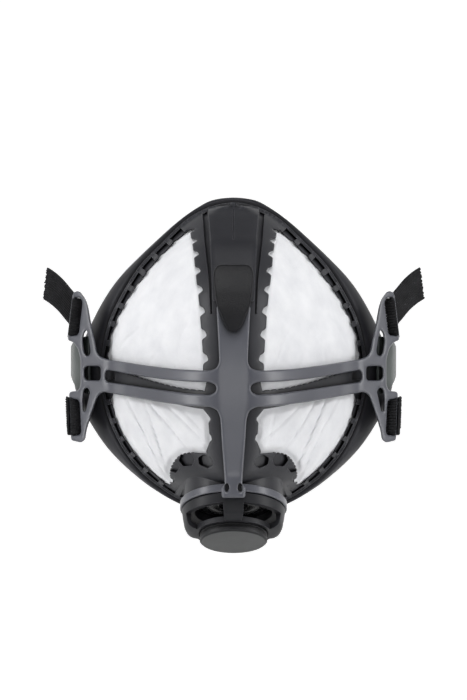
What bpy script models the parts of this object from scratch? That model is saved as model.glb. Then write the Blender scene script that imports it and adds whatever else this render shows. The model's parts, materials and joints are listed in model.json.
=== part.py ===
"""Reusable filtering half mask: flexible shell, four filter windows, harness yoke, exhalation valve.

Metres, +Z up, +X to the viewer's right, front towards -Y. "Forward" below is the distance towards -Y.
Lengths in the constants are millimetres, turned into metres by MM when the meshes are made.
"""

import math

import bmesh
import bpy
from mathutils import Matrix, Vector

MM = 0.001
NAME = "painters_respirator_mask"

# Shell surface: forward depth along the centre line, width at each height, depth of the rim.
RIDGE = (
    (-61.5, 2.0), (-58.2, 8.5), (-55.5, 18.0), (-52.0, 29.5), (-49.0, 39.0), (-46.0, 45.0),
    (-42.0, 47.2), (-32.0, 47.8), (-17.0, 48.0), (-7.0, 47.6), (3.0, 46.5), (12.5, 44.5),
    (22.0, 41.0), (29.0, 37.0), (36.0, 31.5), (42.0, 26.0), (47.0, 19.0), (52.5, 11.0),
    (58.5, 2.0), (61.5, -1.0),
)
RIM_RIGHT = (
    (0.0, 59.5), (10.0, 57.4), (18.4, 52.6), (27.8, 43.7), (36.5, 34.5), (44.0, 22.6),
    (48.6, 12.5), (51.3, 0.0), (51.6, -9.0), (50.2, -18.0), (47.0, -27.0), (42.5, -35.5),
    (36.5, -43.0), (29.0, -49.5), (18.0, -55.8), (0.0, -59.5),
)
RIM_DEPTH = (
    (-60.0, 3.0), (-45.0, 2.0), (-30.0, -3.0), (-8.0, -7.0), (15.0, -5.0), (40.0, -1.0), (60.0, 0.0),
)
SHOULDER = ((-60.0, 1.0), (-45.0, 1.5), (-20.0, 4.0), (10.0, 5.0), (35.0, 6.5), (60.0, 7.0))
FULLNESS = ((-60.0, 1.6), (-45.0, 1.5), (-20.0, 1.5), (0.0, 1.4), (30.0, 1.4), (60.0, 1.5))
SHELL_BOTTOM, SHELL_TOP = -61.4, 61.4
SHELL_THICKNESS = 2.2
FLANGE = 0.8
GAP = 0.35
CELL = 5.0
OUTLINE_STEP = 3.5

# Filter windows, right-hand side, as the edges met going round each one.
UPPER_INNER = (
    (15.1, 49.6), (13.6, 42.0), (12.3, 31.0), (11.0, 21.0), (10.1, 10.0), (9.4, 0.0), (9.3, -9.0),
)
UPPER_LOWER = ((10.6, -12.4), (20.0, -11.5), (31.5, -9.0), (40.0, -6.7), (47.6, -4.4))
UPPER_OUTER = (
    (49.2, 0.4), (48.1, 7.8), (45.9, 14.0), (42.7, 20.3), (38.8, 26.5), (34.6, 31.8),
    (30.8, 36.6), (26.9, 40.8), (22.6, 45.0), (17.6, 49.2),
)
LOWER_UPPER = ((46.8, -13.6), (39.7, -14.2), (25.6, -16.8), (15.7, -18.5), (11.2, -19.1))
LOWER_INNER = ((8.6, -22.0), (8.2, -27.0), (8.2, -32.0), (10.0, -36.0))
LOWER_LOBE = ((14.3, -35.4), (19.6, -36.7), (22.9, -40.5), (24.0, -44.4), (24.2, -49.6))
LOWER_OUTER = (
    (26.6, -48.6), (31.3, -44.7), (35.3, -41.0), (38.4, -37.4), (41.3, -33.6), (43.9, -29.2),
    (45.8, -25.0), (47.2, -20.5), (48.2, -16.6),
)
TOOTH_PITCH = 8.0
TOOTH_DEPTH = 1.1
# One tooth: share of the pitch, then whether it stands out.
TOOTH_SHAPE = ((0.05, 0), (0.42, 0), (0.52, 1), (0.92, 1))
FILTER_MARGIN = 0.9
COVER_THICKNESS = 1.4
MEDIA_THICKNESS = 1.2

# Face seal: silhouette of its flare on the right, and how far behind the rim it stands.
FLARE_RIGHT = (
    (0.0, 62.0), (8.0, 61.2), (12.6, 58.9), (19.6, 54.0), (25.6, 49.3), (36.2, 39.8), (45.8, 30.4),
    (52.6, 20.9), (58.9, 9.1), (62.9, -0.5), (64.4, -9.3), (61.6, -18.5), (55.4, -29.2),
    (48.0, -38.5), (36.9, -47.9), (25.7, -54.9), (13.0, -60.0), (0.0, -62.6),
)
FLARE_DEPTH = (
    (-63.0, -9.0), (-45.0, -14.0), (-25.0, -21.0), (-5.0, -26.0), (12.0, -22.0), (35.0, -11.0), (62.0, -5.0),
)
SEAL_THICKNESS = 1.5
SEAL_AROUND = 60
LIP_TURN_IN = 8.5
LIP_DROP = 7.0
# Across the band: share of the way out to the flare, extra reach, share of its depth, share of the lip.
SEAL_SECTIONS = (
    (0.0, 0.2, 0.0, 0.0), (0.0, 1.4, 0.005, 0.0), (0.35, 0.6, 0.2, 0.0), (0.75, 0.2, 0.6, 0.0),
    (1.0, -0.4, 1.0, 0.0), (1.0, -0.35 * LIP_TURN_IN, 1.0, 0.75), (1.0, -LIP_TURN_IN, 1.0, 1.0),
)

# Harness yoke, right-hand side.
YOKE_LIFT = 0.7
YOKE_THICKNESS = 2.6
YOKE_CHIN_RIDGE = ((-56.0, 51.0), (-48.0, 48.9), (-42.0, 47.7), (-32.0, 47.8))
BRACKET_START, BRACKET_FULL = 40.0, 50.0
BRACKET_DEPTH, BRACKET_SLOPE = -1.8, -0.92
YOKE_RIGHT = (
    (0.0, 19.0), (6.3, 19.0), (5.6, 6.5), (5.2, -1.6), (6.1, -3.9), (8.6, -4.85), (11.1, -4.85),
    (22.5, -4.3), (33.9, -3.0), (48.8, -1.0), (51.9, 0.0), (53.4, 1.6), (54.2, 6.2), (56.0, 13.3),
    (57.1, 19.6), (58.2, 22.8), (60.4, 25.6), (61.6, 26.0), (63.4, 25.4), (63.4, 23.7), (60.2, 23.2),
    (59.4, 21.5), (60.9, 9.6), (61.6, 8.5), (65.6, 8.2), (65.6, 6.6), (63.4, 5.8), (61.4, 3.4),
    (60.2, -1.0), (60.2, -11.0), (61.2, -13.4), (65.0, -13.8), (65.2, -16.4), (61.2, -16.9),
    (60.6, -18.2), (60.0, -29.6), (60.6, -30.8), (64.4, -31.2), (64.2, -33.0), (60.0, -33.8),
    (58.4, -32.6), (57.8, -28.8), (56.2, -23.7), (54.2, -18.2), (52.8, -14.8), (50.8, -13.6),
    (40.0, -15.1), (27.9, -16.8), (16.7, -17.9), (8.5, -18.1), (5.8, -19.4), (4.8, -22.4),
    (4.2, -32.0), (3.3, -44.0), (3.2, -46.6), (4.4, -47.4), (4.4, -50.3), (4.0, -51.2), (0.0, -51.2),
)
SLIT = (
    (8.6, -9.1), (16.7, -9.0), (27.9, -8.1), (40.0, -6.5), (49.0, -5.1), (49.8, -6.4), (49.8, -8.6),
    (49.0, -9.8), (40.0, -10.7), (27.9, -12.2), (16.7, -13.4), (8.6, -13.8), (6.6, -12.7), (6.2, -11.4),
    (6.6, -10.1),
)
BRACKET_WINDOW = (
    (52.4, -3.6), (57.6, -3.6), (58.6, -4.6), (58.6, -8.1), (57.6, -9.2), (52.4, -9.2), (51.7, -8.2),
    (51.7, -4.6),
)
UPPER_TEARDROP = (
    (57.7, 10.8), (58.9, 9.2), (59.3, 6.0), (58.6, 1.4), (57.6, 0.3), (56.4, 0.7), (56.0, 2.2), (56.8, 7.6),
)
LOWER_TEARDROP = (
    (57.4, -11.9), (58.8, -13.0), (59.3, -17.4), (59.0, -21.4), (58.0, -21.4), (57.2, -18.0), (56.2, -13.6),
)
KEYHOLE_X, KEYHOLE_Z, KEYHOLE_R = 2.4, -47.55, 0.9
KEYHOLE_SIDES = 10
BAR_R = 1.1
BAR_SIDES = 14
UPPER_BAR = ((62.6, 24.4), (64.8, 7.6))
LOWER_BAR = ((63.9, -15.2), (63.3, -31.8))
HUB_BLOCK = (8.0, 4.6, 3.3)
HUB_BLOCK_AT = (0.0, 47.6, -47.1)

# Cheek wing behind each bracket: section as (x, forward), then its heights.
WING_SECTION = ((56.8, -8.7), (60.2, -12.0), (62.8, -15.6), (64.4, -19.0))
WING_TOP, WING_BOTTOM = 8.0, -14.6
WING_THICKNESS = 1.1
WING_TAPER = 0.5
WING_CELLS = 6

# Grip pad over the head of the yoke.
PAD_RIGHT = (
    (0.0, 34.3), (4.7, 34.3), (6.6, 33.2), (7.35, 30.3), (6.9, 24.5), (6.2, 19.4), (4.9, 16.4),
    (3.4, 12.7), (1.9, 10.0), (0.0, 9.3),
)
PAD_UNDERSIDE, PAD_THICKNESS = 3.7, 2.2
PAD_POST = ((-4.8, 32.4), (4.8, 32.4), (4.8, 20.4), (-4.8, 20.4))
NOSE_PANEL = ((9.3, 57.2), (8.6, 44.0), (7.6, 20.8))
NOSE_PANEL_HEIGHT = 1.1
OVERLAP = 1.0

# Reach of each sheet before its outline is cut, as x from, x to, z from, z to.
FRAME_REACH = (-56.0, 56.0, -61.4, 61.4)
PANEL_REACH = (-11.0, 11.0, 17.0, 60.0)
YOKE_REACH = (-67.0, 67.0, -56.0, 28.0)
PAD_REACH = (-10.0, 10.0, 6.0, 38.0)
POST_REACH = (-10.0, 10.0, 16.0, 38.0)
FILTER_REACH = 8.0
BLOCK_REAR, BLOCK_FRONT = -60.0, 80.0
SLOPE_REACH = 1.5
SHOULDER_LIMIT = 0.45
BEYOND_RIM = 1.3
RIDGE_STEPS = 400
WELD = 1e-6

# Elastic straps: loop round the bar, then a tail cut off short.
STRAP_THICKNESS = 1.1
LOOP_R = BAR_R + GAP + STRAP_THICKNESS / 2
UPPER_STRAP_WIDTH, LOWER_STRAP_WIDTH = 13.2, 12.6
UPPER_TAIL = ((3.6, -5.6, 3.4), (8.0, -10.0, 8.6), (14.0, -14.0, 12.1))
LOWER_TAIL = ((0.6, -7.0, 0.0), (0.2, -13.0, 0.0), (-0.6, -19.0, 0.0))
WRAP_START, WRAP_TURN, WRAP_STEPS = -110.0, 290.0, 12

# Exhalation valve, along an axis pointing down and forwards.
VALVE_TILT = math.radians(155.0)
VALVE_CENTRE = (0.0, 28.0, -56.4)
ROUND = 40
NECK_R, BORE_R = 18.6, 15.6
NECK_INNER, NECK_OUTER = -12.5, 1.0
RING_R, RING_INNER, RING_OUTER = 20.1, -1.8, 1.2
SEAT = (15.25, -4.6, -1.7)
SEAT_OPENING, SEAT_HUB = 12.2, 3.2
SPOKE_HALF_ANGLE = 9.0
CUT_BEYOND = 2.0
BORE_CUT = 30.0
SECTOR_STEPS = 6
DIAPHRAGM_PROFILE = (
    (0.0, 0.4), (1.7, 0.2), (1.9, -0.7), (5.0, -0.7), (5.6, -0.35), (6.2, -0.7), (9.2, -0.7),
    (9.8, -0.35), (10.4, -0.7), (13.2, -0.9), (13.2, -1.35), (0.0, -1.35),
)
COVER_PROFILE = (
    (12.95, 10.8), (14.5, 10.8), (16.3, 10.3), (17.7, 9.4), (18.4, 8.0), (19.1, 4.2), (19.4, 1.6),
    (15.25, 1.6), (15.25, -0.4), (14.5, -0.4), (14.5, 2.4), (16.9, 3.4), (16.9, 7.4), (16.2, 8.4),
    (14.5, 8.9), (12.95, 8.9),
)
COVER_WINDOW_INNER, COVER_WINDOW_START, COVER_WINDOW_END = 14.4, 5.0, 12.0
FRONT_POST_ANGLE, SIDE_POST_ANGLE = 11.5, 21.0
CAP_PROFILE = (
    (0.0, 14.1), (11.9, 14.1), (12.6, 13.5), (12.6, 12.3), (12.0, 12.0), (12.0, 11.5), (12.6, 11.2),
    (12.6, 9.3), (11.2, 9.3), (11.2, 12.6), (0.0, 12.6),
)

BLACK = ((0.045, 0.046, 0.05), 0.5)
DARK = ((0.07, 0.072, 0.08), 0.45)
GREY = ((0.24, 0.245, 0.27), 0.42)
WHITE = ((0.86, 0.87, 0.88), 0.9)


def interpolate(knots):
    """A smooth monotone curve through (position, value) knots."""
    knots = sorted(knots)
    at = [k[0] for k in knots]
    value = [k[1] for k in knots]
    rise = [(value[i + 1] - value[i]) / (at[i + 1] - at[i]) for i in range(len(at) - 1)]
    slope = [rise[0]]
    for before, after in zip(rise, rise[1:]):
        slope.append(2 * before * after / (before + after) if before * after > 0 else 0.0)
    slope.append(rise[-1])

    def curve(x):
        x = min(max(x, at[0]), at[-1])
        i = max(k for k in range(len(at) - 1) if at[k] <= x)
        width = at[i + 1] - at[i]
        s = (x - at[i]) / width
        low = (1 + 2 * s) * (1 - s) ** 2 * value[i] + s * (1 - s) ** 2 * width * slope[i]
        high = s * s * (3 - 2 * s) * value[i + 1] + s * s * (s - 1) * width * slope[i + 1]
        return low + high

    return curve


ridge = interpolate(RIDGE)
rim_width = interpolate([(z, x) for x, z in RIM_RIGHT])
rim_depth = interpolate(RIM_DEPTH)
shoulder = interpolate(SHOULDER)
fullness = interpolate(FULLNESS)
flare_depth = interpolate(FLARE_DEPTH)
yoke_ridge = interpolate(YOKE_CHIN_RIDGE + tuple(k for k in RIDGE if k[0] > YOKE_CHIN_RIDGE[-1][0]))


def shell_depth(x, z, crest=ridge):
    """How far forward the shell's surface stands, with its flange beyond the rim."""
    width = rim_width(z)
    start = min(shoulder(z), SHOULDER_LIMIT * width)
    across = min(max((abs(x) - start) / (width - start), 0.0), 1.0) if width > start else 1.0
    return rim_depth(z) + (crest(z) - rim_depth(z)) * (1 - across ** fullness(z))


def core_depth(x, z):
    """The shell without its flange: the wall runs on at the same slope beyond the rim."""
    width = rim_width(z)
    start = min(shoulder(z), SHOULDER_LIMIT * width)
    across = max((abs(x) - start) / (width - start), 0.0) if width > start else 1.0
    return rim_depth(z) + (ridge(z) - rim_depth(z)) * (1 - min(across, BEYOND_RIM) ** fullness(z))


def yoke_depth(x, z):
    """The shell's surface along the arms, then a slanting plane for each end bracket."""
    share = min(max((abs(x) - BRACKET_START) / (BRACKET_FULL - BRACKET_START), 0.0), 1.0)
    share = share * share * (3 - 2 * share)
    beyond = BRACKET_DEPTH + BRACKET_SLOPE * (abs(x) - BRACKET_FULL)
    return (1 - share) * shell_depth(x, z, yoke_ridge) + share * beyond


def between(a, b, c, d, t):
    """A Catmull-Rom value a share t of the way from b to c."""
    square = 2 * a - 5 * b + 4 * c - d
    cube = 3 * b - a - 3 * c + d
    return 0.5 * (2 * b + (c - a) * t + square * t * t + cube * t**3)


def smooth_line(points, step, closed=False):
    """Catmull-Rom points through an outline, about a step apart."""
    count = len(points)
    out = []
    for i in range(count if closed else count - 1):
        if closed:
            p0, p1, p2, p3 = (points[(i + k) % count] for k in (-1, 0, 1, 2))
        else:
            p0, p1, p2, p3 = (points[min(max(i + k, 0), count - 1)] for k in (-1, 0, 1, 2))
        parts = max(1, round(math.dist(p1, p2) / step))
        for k in range(parts):
            t = k / parts
            out.append(tuple(between(*corner, t) for corner in zip(p0, p1, p2, p3)))
    if not closed:
        out.append(points[-1])
    return out


def toothed_line(points, side):
    """The smooth line with square teeth standing off it to one side."""
    line = smooth_line(points, 1.0)
    lengths = [0.0]
    for a, b in zip(line, line[1:]):
        lengths.append(lengths[-1] + math.dist(a, b))

    def at(distance, out):
        i = max(k for k in range(len(line) - 1) if lengths[k] <= distance)
        run = lengths[i + 1] - lengths[i]
        t = (distance - lengths[i]) / run
        dx, dz = ((b - a) / run for a, b in zip(line[i], line[i + 1]))
        return (
            line[i][0] + dx * run * t - side * dz * out,
            line[i][1] + dz * run * t + side * dx * out,
        )

    teeth = int(lengths[-1] / TOOTH_PITCH)
    pitch = lengths[-1] / teeth
    made = []
    for tooth in range(teeth):
        for share, out in TOOTH_SHAPE:
            made.append(at((tooth + share) * pitch, out * TOOTH_DEPTH))
    return made


def grown(outline, amount):
    """A closed outline moved outwards; the outline runs clockwise as seen from the front."""
    made = []
    for before, here, after in zip(outline[-1:] + outline[:-1], outline, outline[1:] + outline[:1]):
        dx, dz = after[0] - before[0], after[1] - before[1]
        run = math.hypot(dx, dz)
        made.append((here[0] - dz / run * amount, here[1] + dx / run * amount))
    return made


def area(outline):
    return sum(a[0] * b[1] - b[0] * a[1] for a, b in zip(outline, outline[1:] + outline[:1])) / 2


def clockwise(outline):
    return outline if area(outline) < 0 else outline[::-1]


def both_sides(half):
    """A half outline that starts and ends on the centre line, closed by its mirror image."""
    return list(half) + [(-x, z) for x, z in half[::-1] if x > 0]


def mirrored(outline, side):
    return [(side * x, z) for x, z in outline]


def add_object(name, mesh, place=None, look=None):
    obj = bpy.data.objects.new(name, mesh)
    if place is not None:
        obj.matrix_world = place
    if look is None:
        cutters.objects.link(obj)
        obj.hide_render = True
        obj.display_type = "WIRE"
    else:
        parts.objects.link(obj)
        colour, roughness = look
        obj.data.materials.append(material(name, colour, roughness))
    return obj


def material(name, colour, roughness):
    made = bpy.data.materials.new(name)
    made.use_nodes = True
    shader = made.node_tree.nodes["Principled BSDF"]
    shader.inputs["Base Color"].default_value = (*colour, 1.0)
    shader.inputs["Roughness"].default_value = roughness
    shader.inputs["Metallic"].default_value = 0.0
    return made


def boolean(obj, other, operation):
    cut = obj.modifiers.new(f"{operation.lower()}_{other.name}", "BOOLEAN")
    cut.operation = operation
    cut.solver = "EXACT"
    cut.object = other


def mesh_from(obj):
    """The evaluated mesh of an object, welded, in its own frame."""
    bpy.context.view_layer.update()
    graph = bpy.context.evaluated_depsgraph_get()
    mesh = bpy.data.meshes.new_from_object(obj.evaluated_get(graph), depsgraph=graph)
    bm = bmesh.new()
    bm.from_mesh(mesh)
    bmesh.ops.remove_doubles(bm, verts=bm.verts, dist=WELD)
    bmesh.ops.recalc_face_normals(bm, faces=bm.faces)
    bm.to_mesh(mesh)
    bm.free()
    return mesh


def flat_block(name, outline, place, half_height):
    """A block with the given outline in its own XY plane."""
    curve = bpy.data.curves.new(name, "CURVE")
    curve.dimensions = "2D"
    curve.fill_mode = "BOTH"
    curve.extrude = half_height * MM
    spline = curve.splines.new("POLY")
    spline.points.add(len(outline) - 1)
    for point, (x, y) in zip(spline.points, outline):
        point.co = (x * MM, y * MM, 0.0, 1.0)
    spline.use_cyclic_u = True
    drawn = bpy.data.objects.new(name, curve)
    cutters.objects.link(drawn)
    mesh = mesh_from(drawn)
    bpy.data.objects.remove(drawn)
    return add_object(name, mesh, place)


def facing_block(name, outline, rear=BLOCK_REAR, front=BLOCK_FRONT):
    """A block whose outline is seen from the front, between two forward depths."""
    middle = Matrix.Translation((0.0, -(rear + front) / 2 * MM, 0.0))
    place = middle @ Matrix.Rotation(math.pi / 2, 4, "X")
    return flat_block(name, outline, place, (front - rear) / 2)


def skin(name, depth, outer, thickness, bounds, look=None):
    """A curved sheet following a depth function, its front face a given distance off it."""
    x0, x1, z0, z1 = bounds
    columns = range(math.floor(x0 / CELL), math.ceil(x1 / CELL) + 1)
    below = max(k for k, z in enumerate(LATTICE_ROWS) if z <= max(z0, LATTICE_ROWS[0]))
    above = min(k for k, z in enumerate(LATTICE_ROWS) if z >= min(z1, LATTICE_ROWS[-1]))
    bm = bmesh.new()
    bmesh.ops.create_grid(bm, x_segments=len(columns) - 1, y_segments=above - below, size=1.0)
    for vert in bm.verts:
        x = CELL * columns[round((vert.co.x + 1) / 2 * (len(columns) - 1))]
        z = LATTICE_ROWS[below + round((vert.co.y + 1) / 2 * (above - below))]
        vert.co = off_surface(depth, x, z, outer) * MM
    mesh = bpy.data.meshes.new(name)
    bm.to_mesh(mesh)
    bm.free()
    obj = add_object(name, mesh, look=look)
    solidify(obj, thickness, -1.0)
    return obj


def lattice_rows():
    """Heights at equal steps along the centre line of the shell, shared by every sheet that follows it."""
    rise = (SHELL_TOP - SHELL_BOTTOM) / RIDGE_STEPS
    heights = [SHELL_BOTTOM + rise * k for k in range(RIDGE_STEPS + 1)]
    travelled = [0.0]
    for low, high in zip(heights, heights[1:]):
        travelled.append(travelled[-1] + math.dist((low, ridge(low)), (high, ridge(high))))
    height_at = interpolate(list(zip(travelled, heights)))
    rows = round(travelled[-1] / CELL)
    return [height_at(travelled[-1] * k / rows) for k in range(rows + 1)]


def off_surface(depth, x, z, distance):
    """A point at a distance off the surface, along its normal."""
    across = (depth(x + SLOPE_REACH, z) - depth(x - SLOPE_REACH, z)) / (2 * SLOPE_REACH)
    up = (depth(x, z + SLOPE_REACH) - depth(x, z - SLOPE_REACH)) / (2 * SLOPE_REACH)
    normal = Vector((-across, -1.0, -up)).normalized()
    return Vector((x, -depth(x, z), z)) + normal * distance


def solidify(obj, thickness, offset):
    wall = obj.modifiers.new("wall", "SOLIDIFY")
    wall.thickness = thickness * MM
    wall.offset = offset


def turned(name, profile, look=None, closed=False):
    """A body of revolution about the valve axis; the profile is (radius, distance out along the axis)."""
    bm = bmesh.new()
    verts = [bm.verts.new((r * MM, 0.0, t * MM)) for r, t in profile]
    for a, b in zip(verts, verts[1:]):
        bm.edges.new((a, b))
    if closed:
        bm.edges.new((verts[-1], verts[0]))
    mesh = bpy.data.meshes.new(name)
    bm.to_mesh(mesh)
    bm.free()
    obj = add_object(name, mesh, VALVE_FRAME, look)
    screw = obj.modifiers.new("turn", "SCREW")
    screw.axis = "Z"
    screw.steps = ROUND
    screw.render_steps = ROUND
    screw.use_merge_vertices = True
    screw.merge_threshold = 1e-5
    return obj


def turned_block(name, radius, low, high):
    """A solid cylinder on the valve axis."""
    return turned(name, ((radius, high), (radius, low), (0.0, low), (0.0, high)), closed=True)


def sector_cutter(name, inner, outer, start, end, low, high):
    """A slice of a ring round the valve axis; angles in degrees from the front."""
    angles = [math.radians(start + (end - start) * k / SECTOR_STEPS) for k in range(SECTOR_STEPS + 1)]
    rim = [(outer * math.sin(a), outer * math.cos(a)) for a in angles]
    core = [(inner * math.sin(a), inner * math.cos(a)) for a in reversed(angles)]
    place = VALVE_FRAME @ Matrix.Translation((0.0, 0.0, (low + high) / 2 * MM))
    return flat_block(name, rim + core, place, (high - low) / 2)


def window_outlines():
    """(name, toothed opening, smooth opening) of the right-hand windows."""
    upper = (UPPER_INNER, UPPER_LOWER, UPPER_OUTER)
    lower = (LOWER_UPPER, LOWER_INNER, LOWER_LOBE, LOWER_OUTER)
    made = []
    for level, edges, plain in (("upper", upper, ()), ("lower", lower, (LOWER_UPPER, LOWER_INNER))):
        smooth = [point for edge in edges for point in smooth_line(edge, CELL)]
        side = 1 if area(smooth) > 0 else -1
        cut = []
        for edge in edges:
            cut += smooth_line(edge, CELL) if edge in plain else toothed_line(edge, side)
        made.append((level, cut, clockwise(smooth)))
    return made


def make_mask_frame():
    frame = skin("mask_frame", shell_depth, 0.0, SHELL_THICKNESS, FRAME_REACH, DARK)
    outline = grown(clockwise(smooth_line(both_sides(RIM_RIGHT), OUTLINE_STEP, closed=True)), FLANGE)
    boolean(frame, facing_block("frame_outline", outline), "INTERSECT")
    for level, cut, _ in window_outlines():
        for side, word in ((-1, "left"), (1, "right")):
            boolean(frame, facing_block(f"window_{level}_{word}", mirrored(cut, side)), "DIFFERENCE")
    panel = skin("nose_panel", shell_depth, NOSE_PANEL_HEIGHT, NOSE_PANEL_HEIGHT + OVERLAP, PANEL_REACH)
    corners = list(NOSE_PANEL) + mirrored(NOSE_PANEL[::-1], -1)
    boolean(panel, facing_block("nose_panel_outline", corners), "INTERSECT")
    boolean(frame, panel, "UNION")
    boolean(frame, turned_block("neck", NECK_R, NECK_INNER, NECK_OUTER), "UNION")
    boolean(frame, turned_block("bore", BORE_R, -BORE_CUT, BORE_CUT), "DIFFERENCE")


def make_filters():
    rear = SHELL_THICKNESS + GAP
    layers = (
        ("filter_cover", rear, COVER_THICKNESS),
        ("filter_media", rear + COVER_THICKNESS + GAP, MEDIA_THICKNESS),
    )
    for level, _, smooth in window_outlines():
        outline = grown(smooth, FILTER_MARGIN)
        xs = [x for x, _ in outline]
        zs = [z for _, z in outline]
        for side, word in ((-1, "left"), (1, "right")):
            edges = sorted((side * (min(xs) - FILTER_REACH), side * (max(xs) + FILTER_REACH)))
            bounds = (*edges, min(zs) - FILTER_REACH, max(zs) + FILTER_REACH)
            block = facing_block(f"filter_outline_{level}_{word}", mirrored(outline, side))
            for layer, behind, thickness in layers:
                sheet = skin(f"{layer}_{level}_{word}", core_depth, -behind, thickness, bounds, WHITE)
                boolean(sheet, block, "INTERSECT")


def cast(outline, angle):
    """Where a ray from the centre at this angle meets a closed outline."""
    direction = (math.sin(angle), math.cos(angle))
    for a, b in zip(outline, outline[1:] + outline[:1]):
        side_a = a[0] * direction[1] - a[1] * direction[0]
        side_b = b[0] * direction[1] - b[1] * direction[0]
        if side_a * side_b > 0 or side_a == side_b:
            continue
        t = side_a / (side_a - side_b)
        x, z = a[0] + (b[0] - a[0]) * t, a[1] + (b[1] - a[1]) * t
        if x * direction[0] + z * direction[1] > 0:
            return x, z
    return 0.0, 0.0


def make_face_seal():
    """The flexible flare: a band from under the frame's flange out to the cheek and in again to its lip."""
    across = len(SEAL_SECTIONS) - 1
    bm = bmesh.new()
    bmesh.ops.create_grid(bm, x_segments=SEAL_AROUND, y_segments=across, size=1.0)
    for vert in bm.verts:
        angle = math.pi * vert.co.x
        rim, flare = cast(RIM_LOOP, angle), cast(FLARE_LOOP, angle)
        rim_at = rim_depth(rim[1]) - SHELL_THICKNESS - GAP - SEAL_THICKNESS / 2
        flare_at = flare_depth(flare[1])
        share, out, deep, lip = SEAL_SECTIONS[round((vert.co.y + 1) / 2 * across)]
        forward = rim_at + deep * (flare_at - rim_at) - lip * LIP_DROP
        x = rim[0] + (flare[0] - rim[0]) * share + out * math.sin(angle)
        z = rim[1] + (flare[1] - rim[1]) * share + out * math.cos(angle)
        vert.co = Vector((x, -forward, z)) * MM
    bmesh.ops.remove_doubles(bm, verts=bm.verts, dist=WELD)
    mesh = bpy.data.meshes.new("face_seal")
    bm.to_mesh(mesh)
    bm.free()
    solidify(add_object("face_seal", mesh, look=BLACK), SEAL_THICKNESS, 0.0)


def bar_ends(bar, side):
    return [Vector((side * x, -yoke_depth(x, z) - YOKE_LIFT - YOKE_THICKNESS / 2, z)) for x, z in bar]


def keyhole():
    angles = [2 * math.pi * k / KEYHOLE_SIDES for k in range(KEYHOLE_SIDES)]
    return [(KEYHOLE_X + KEYHOLE_R * math.cos(a), KEYHOLE_Z + KEYHOLE_R * math.sin(a)) for a in angles]


def make_yoke():
    yoke = skin("harness_yoke", yoke_depth, YOKE_LIFT + YOKE_THICKNESS, YOKE_THICKNESS, YOKE_REACH, GREY)
    boolean(yoke, facing_block("yoke_outline", both_sides(YOKE_RIGHT)), "INTERSECT")
    for side, word in ((-1, "left"), (1, "right")):
        holes = (
            ("slit", SLIT), ("window", BRACKET_WINDOW), ("teardrop", UPPER_TEARDROP),
            ("drop", LOWER_TEARDROP), ("keyhole", keyhole()),
        )
        for label, hole in holes:
            boolean(yoke, facing_block(f"{label}_{word}", mirrored(hole, side)), "DIFFERENCE")
        for label, bar in (("upper", UPPER_BAR), ("lower", LOWER_BAR)):
            boolean(yoke, rod(f"bar_{label}_{word}", *bar_ends(bar, side), BAR_R), "UNION")
    bm = bmesh.new()
    bmesh.ops.create_cube(bm, size=1.0)
    bmesh.ops.scale(bm, vec=Vector(HUB_BLOCK) * MM, verts=bm.verts)
    mesh = bpy.data.meshes.new("hub_block")
    bm.to_mesh(mesh)
    bm.free()
    x, forward, z = HUB_BLOCK_AT
    place = Matrix.Translation(Vector((x, -forward, z)) * MM)
    boolean(yoke, add_object("hub_block", mesh, place), "UNION")
    inner = NECK_R + GAP
    profile = ((RING_R, RING_OUTER), (RING_R, RING_INNER), (inner, RING_INNER), (inner, RING_OUTER))
    boolean(yoke, turned("neck_ring", profile, closed=True), "UNION")


def rod(name, start, end, radius):
    bm = bmesh.new()
    bmesh.ops.create_cone(
        bm,
        cap_ends=True,
        segments=BAR_SIDES,
        radius1=radius * MM,
        radius2=radius * MM,
        depth=(end - start).length * MM,
    )
    mesh = bpy.data.meshes.new(name)
    bm.to_mesh(mesh)
    bm.free()
    turn = (end - start).to_track_quat("Z", "Y").to_matrix().to_4x4()
    return add_object(name, mesh, Matrix.Translation((start + end) / 2 * MM) @ turn)


def make_wings():
    forward_at = interpolate(WING_SECTION)
    x0, x1 = WING_SECTION[0][0], WING_SECTION[-1][0]
    for side, word in ((-1, "left"), (1, "right")):
        bm = bmesh.new()
        bmesh.ops.create_grid(bm, x_segments=WING_CELLS, y_segments=WING_CELLS, size=1.0)
        middle = (WING_TOP + WING_BOTTOM) / 2
        half = (WING_TOP - WING_BOTTOM) / 2
        for vert in bm.verts:
            x = x0 + (x1 - x0) * (vert.co.x * side + 1) / 2
            taper = 1 - WING_TAPER * ((x - x0) / (x1 - x0)) ** 2
            vert.co = Vector((side * x, -forward_at(x), middle + half * taper * vert.co.y)) * MM
        mesh = bpy.data.meshes.new(f"cheek_wing_{word}")
        bm.to_mesh(mesh)
        bm.free()
        solidify(add_object(mesh.name, mesh, look=GREY), WING_THICKNESS, 0.0)


def make_grip_pad():
    top = PAD_UNDERSIDE + PAD_THICKNESS
    pad = skin("grip_pad", shell_depth, top, PAD_THICKNESS, PAD_REACH, BLACK)
    boolean(pad, facing_block("pad_outline", both_sides(PAD_RIGHT)), "INTERSECT")
    low = NOSE_PANEL_HEIGHT + GAP
    high = PAD_UNDERSIDE + OVERLAP
    post = skin("pad_post", shell_depth, high, high - low, POST_REACH)
    boolean(post, facing_block("pad_post_outline", list(PAD_POST)), "INTERSECT")
    boolean(pad, post, "UNION")


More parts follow.
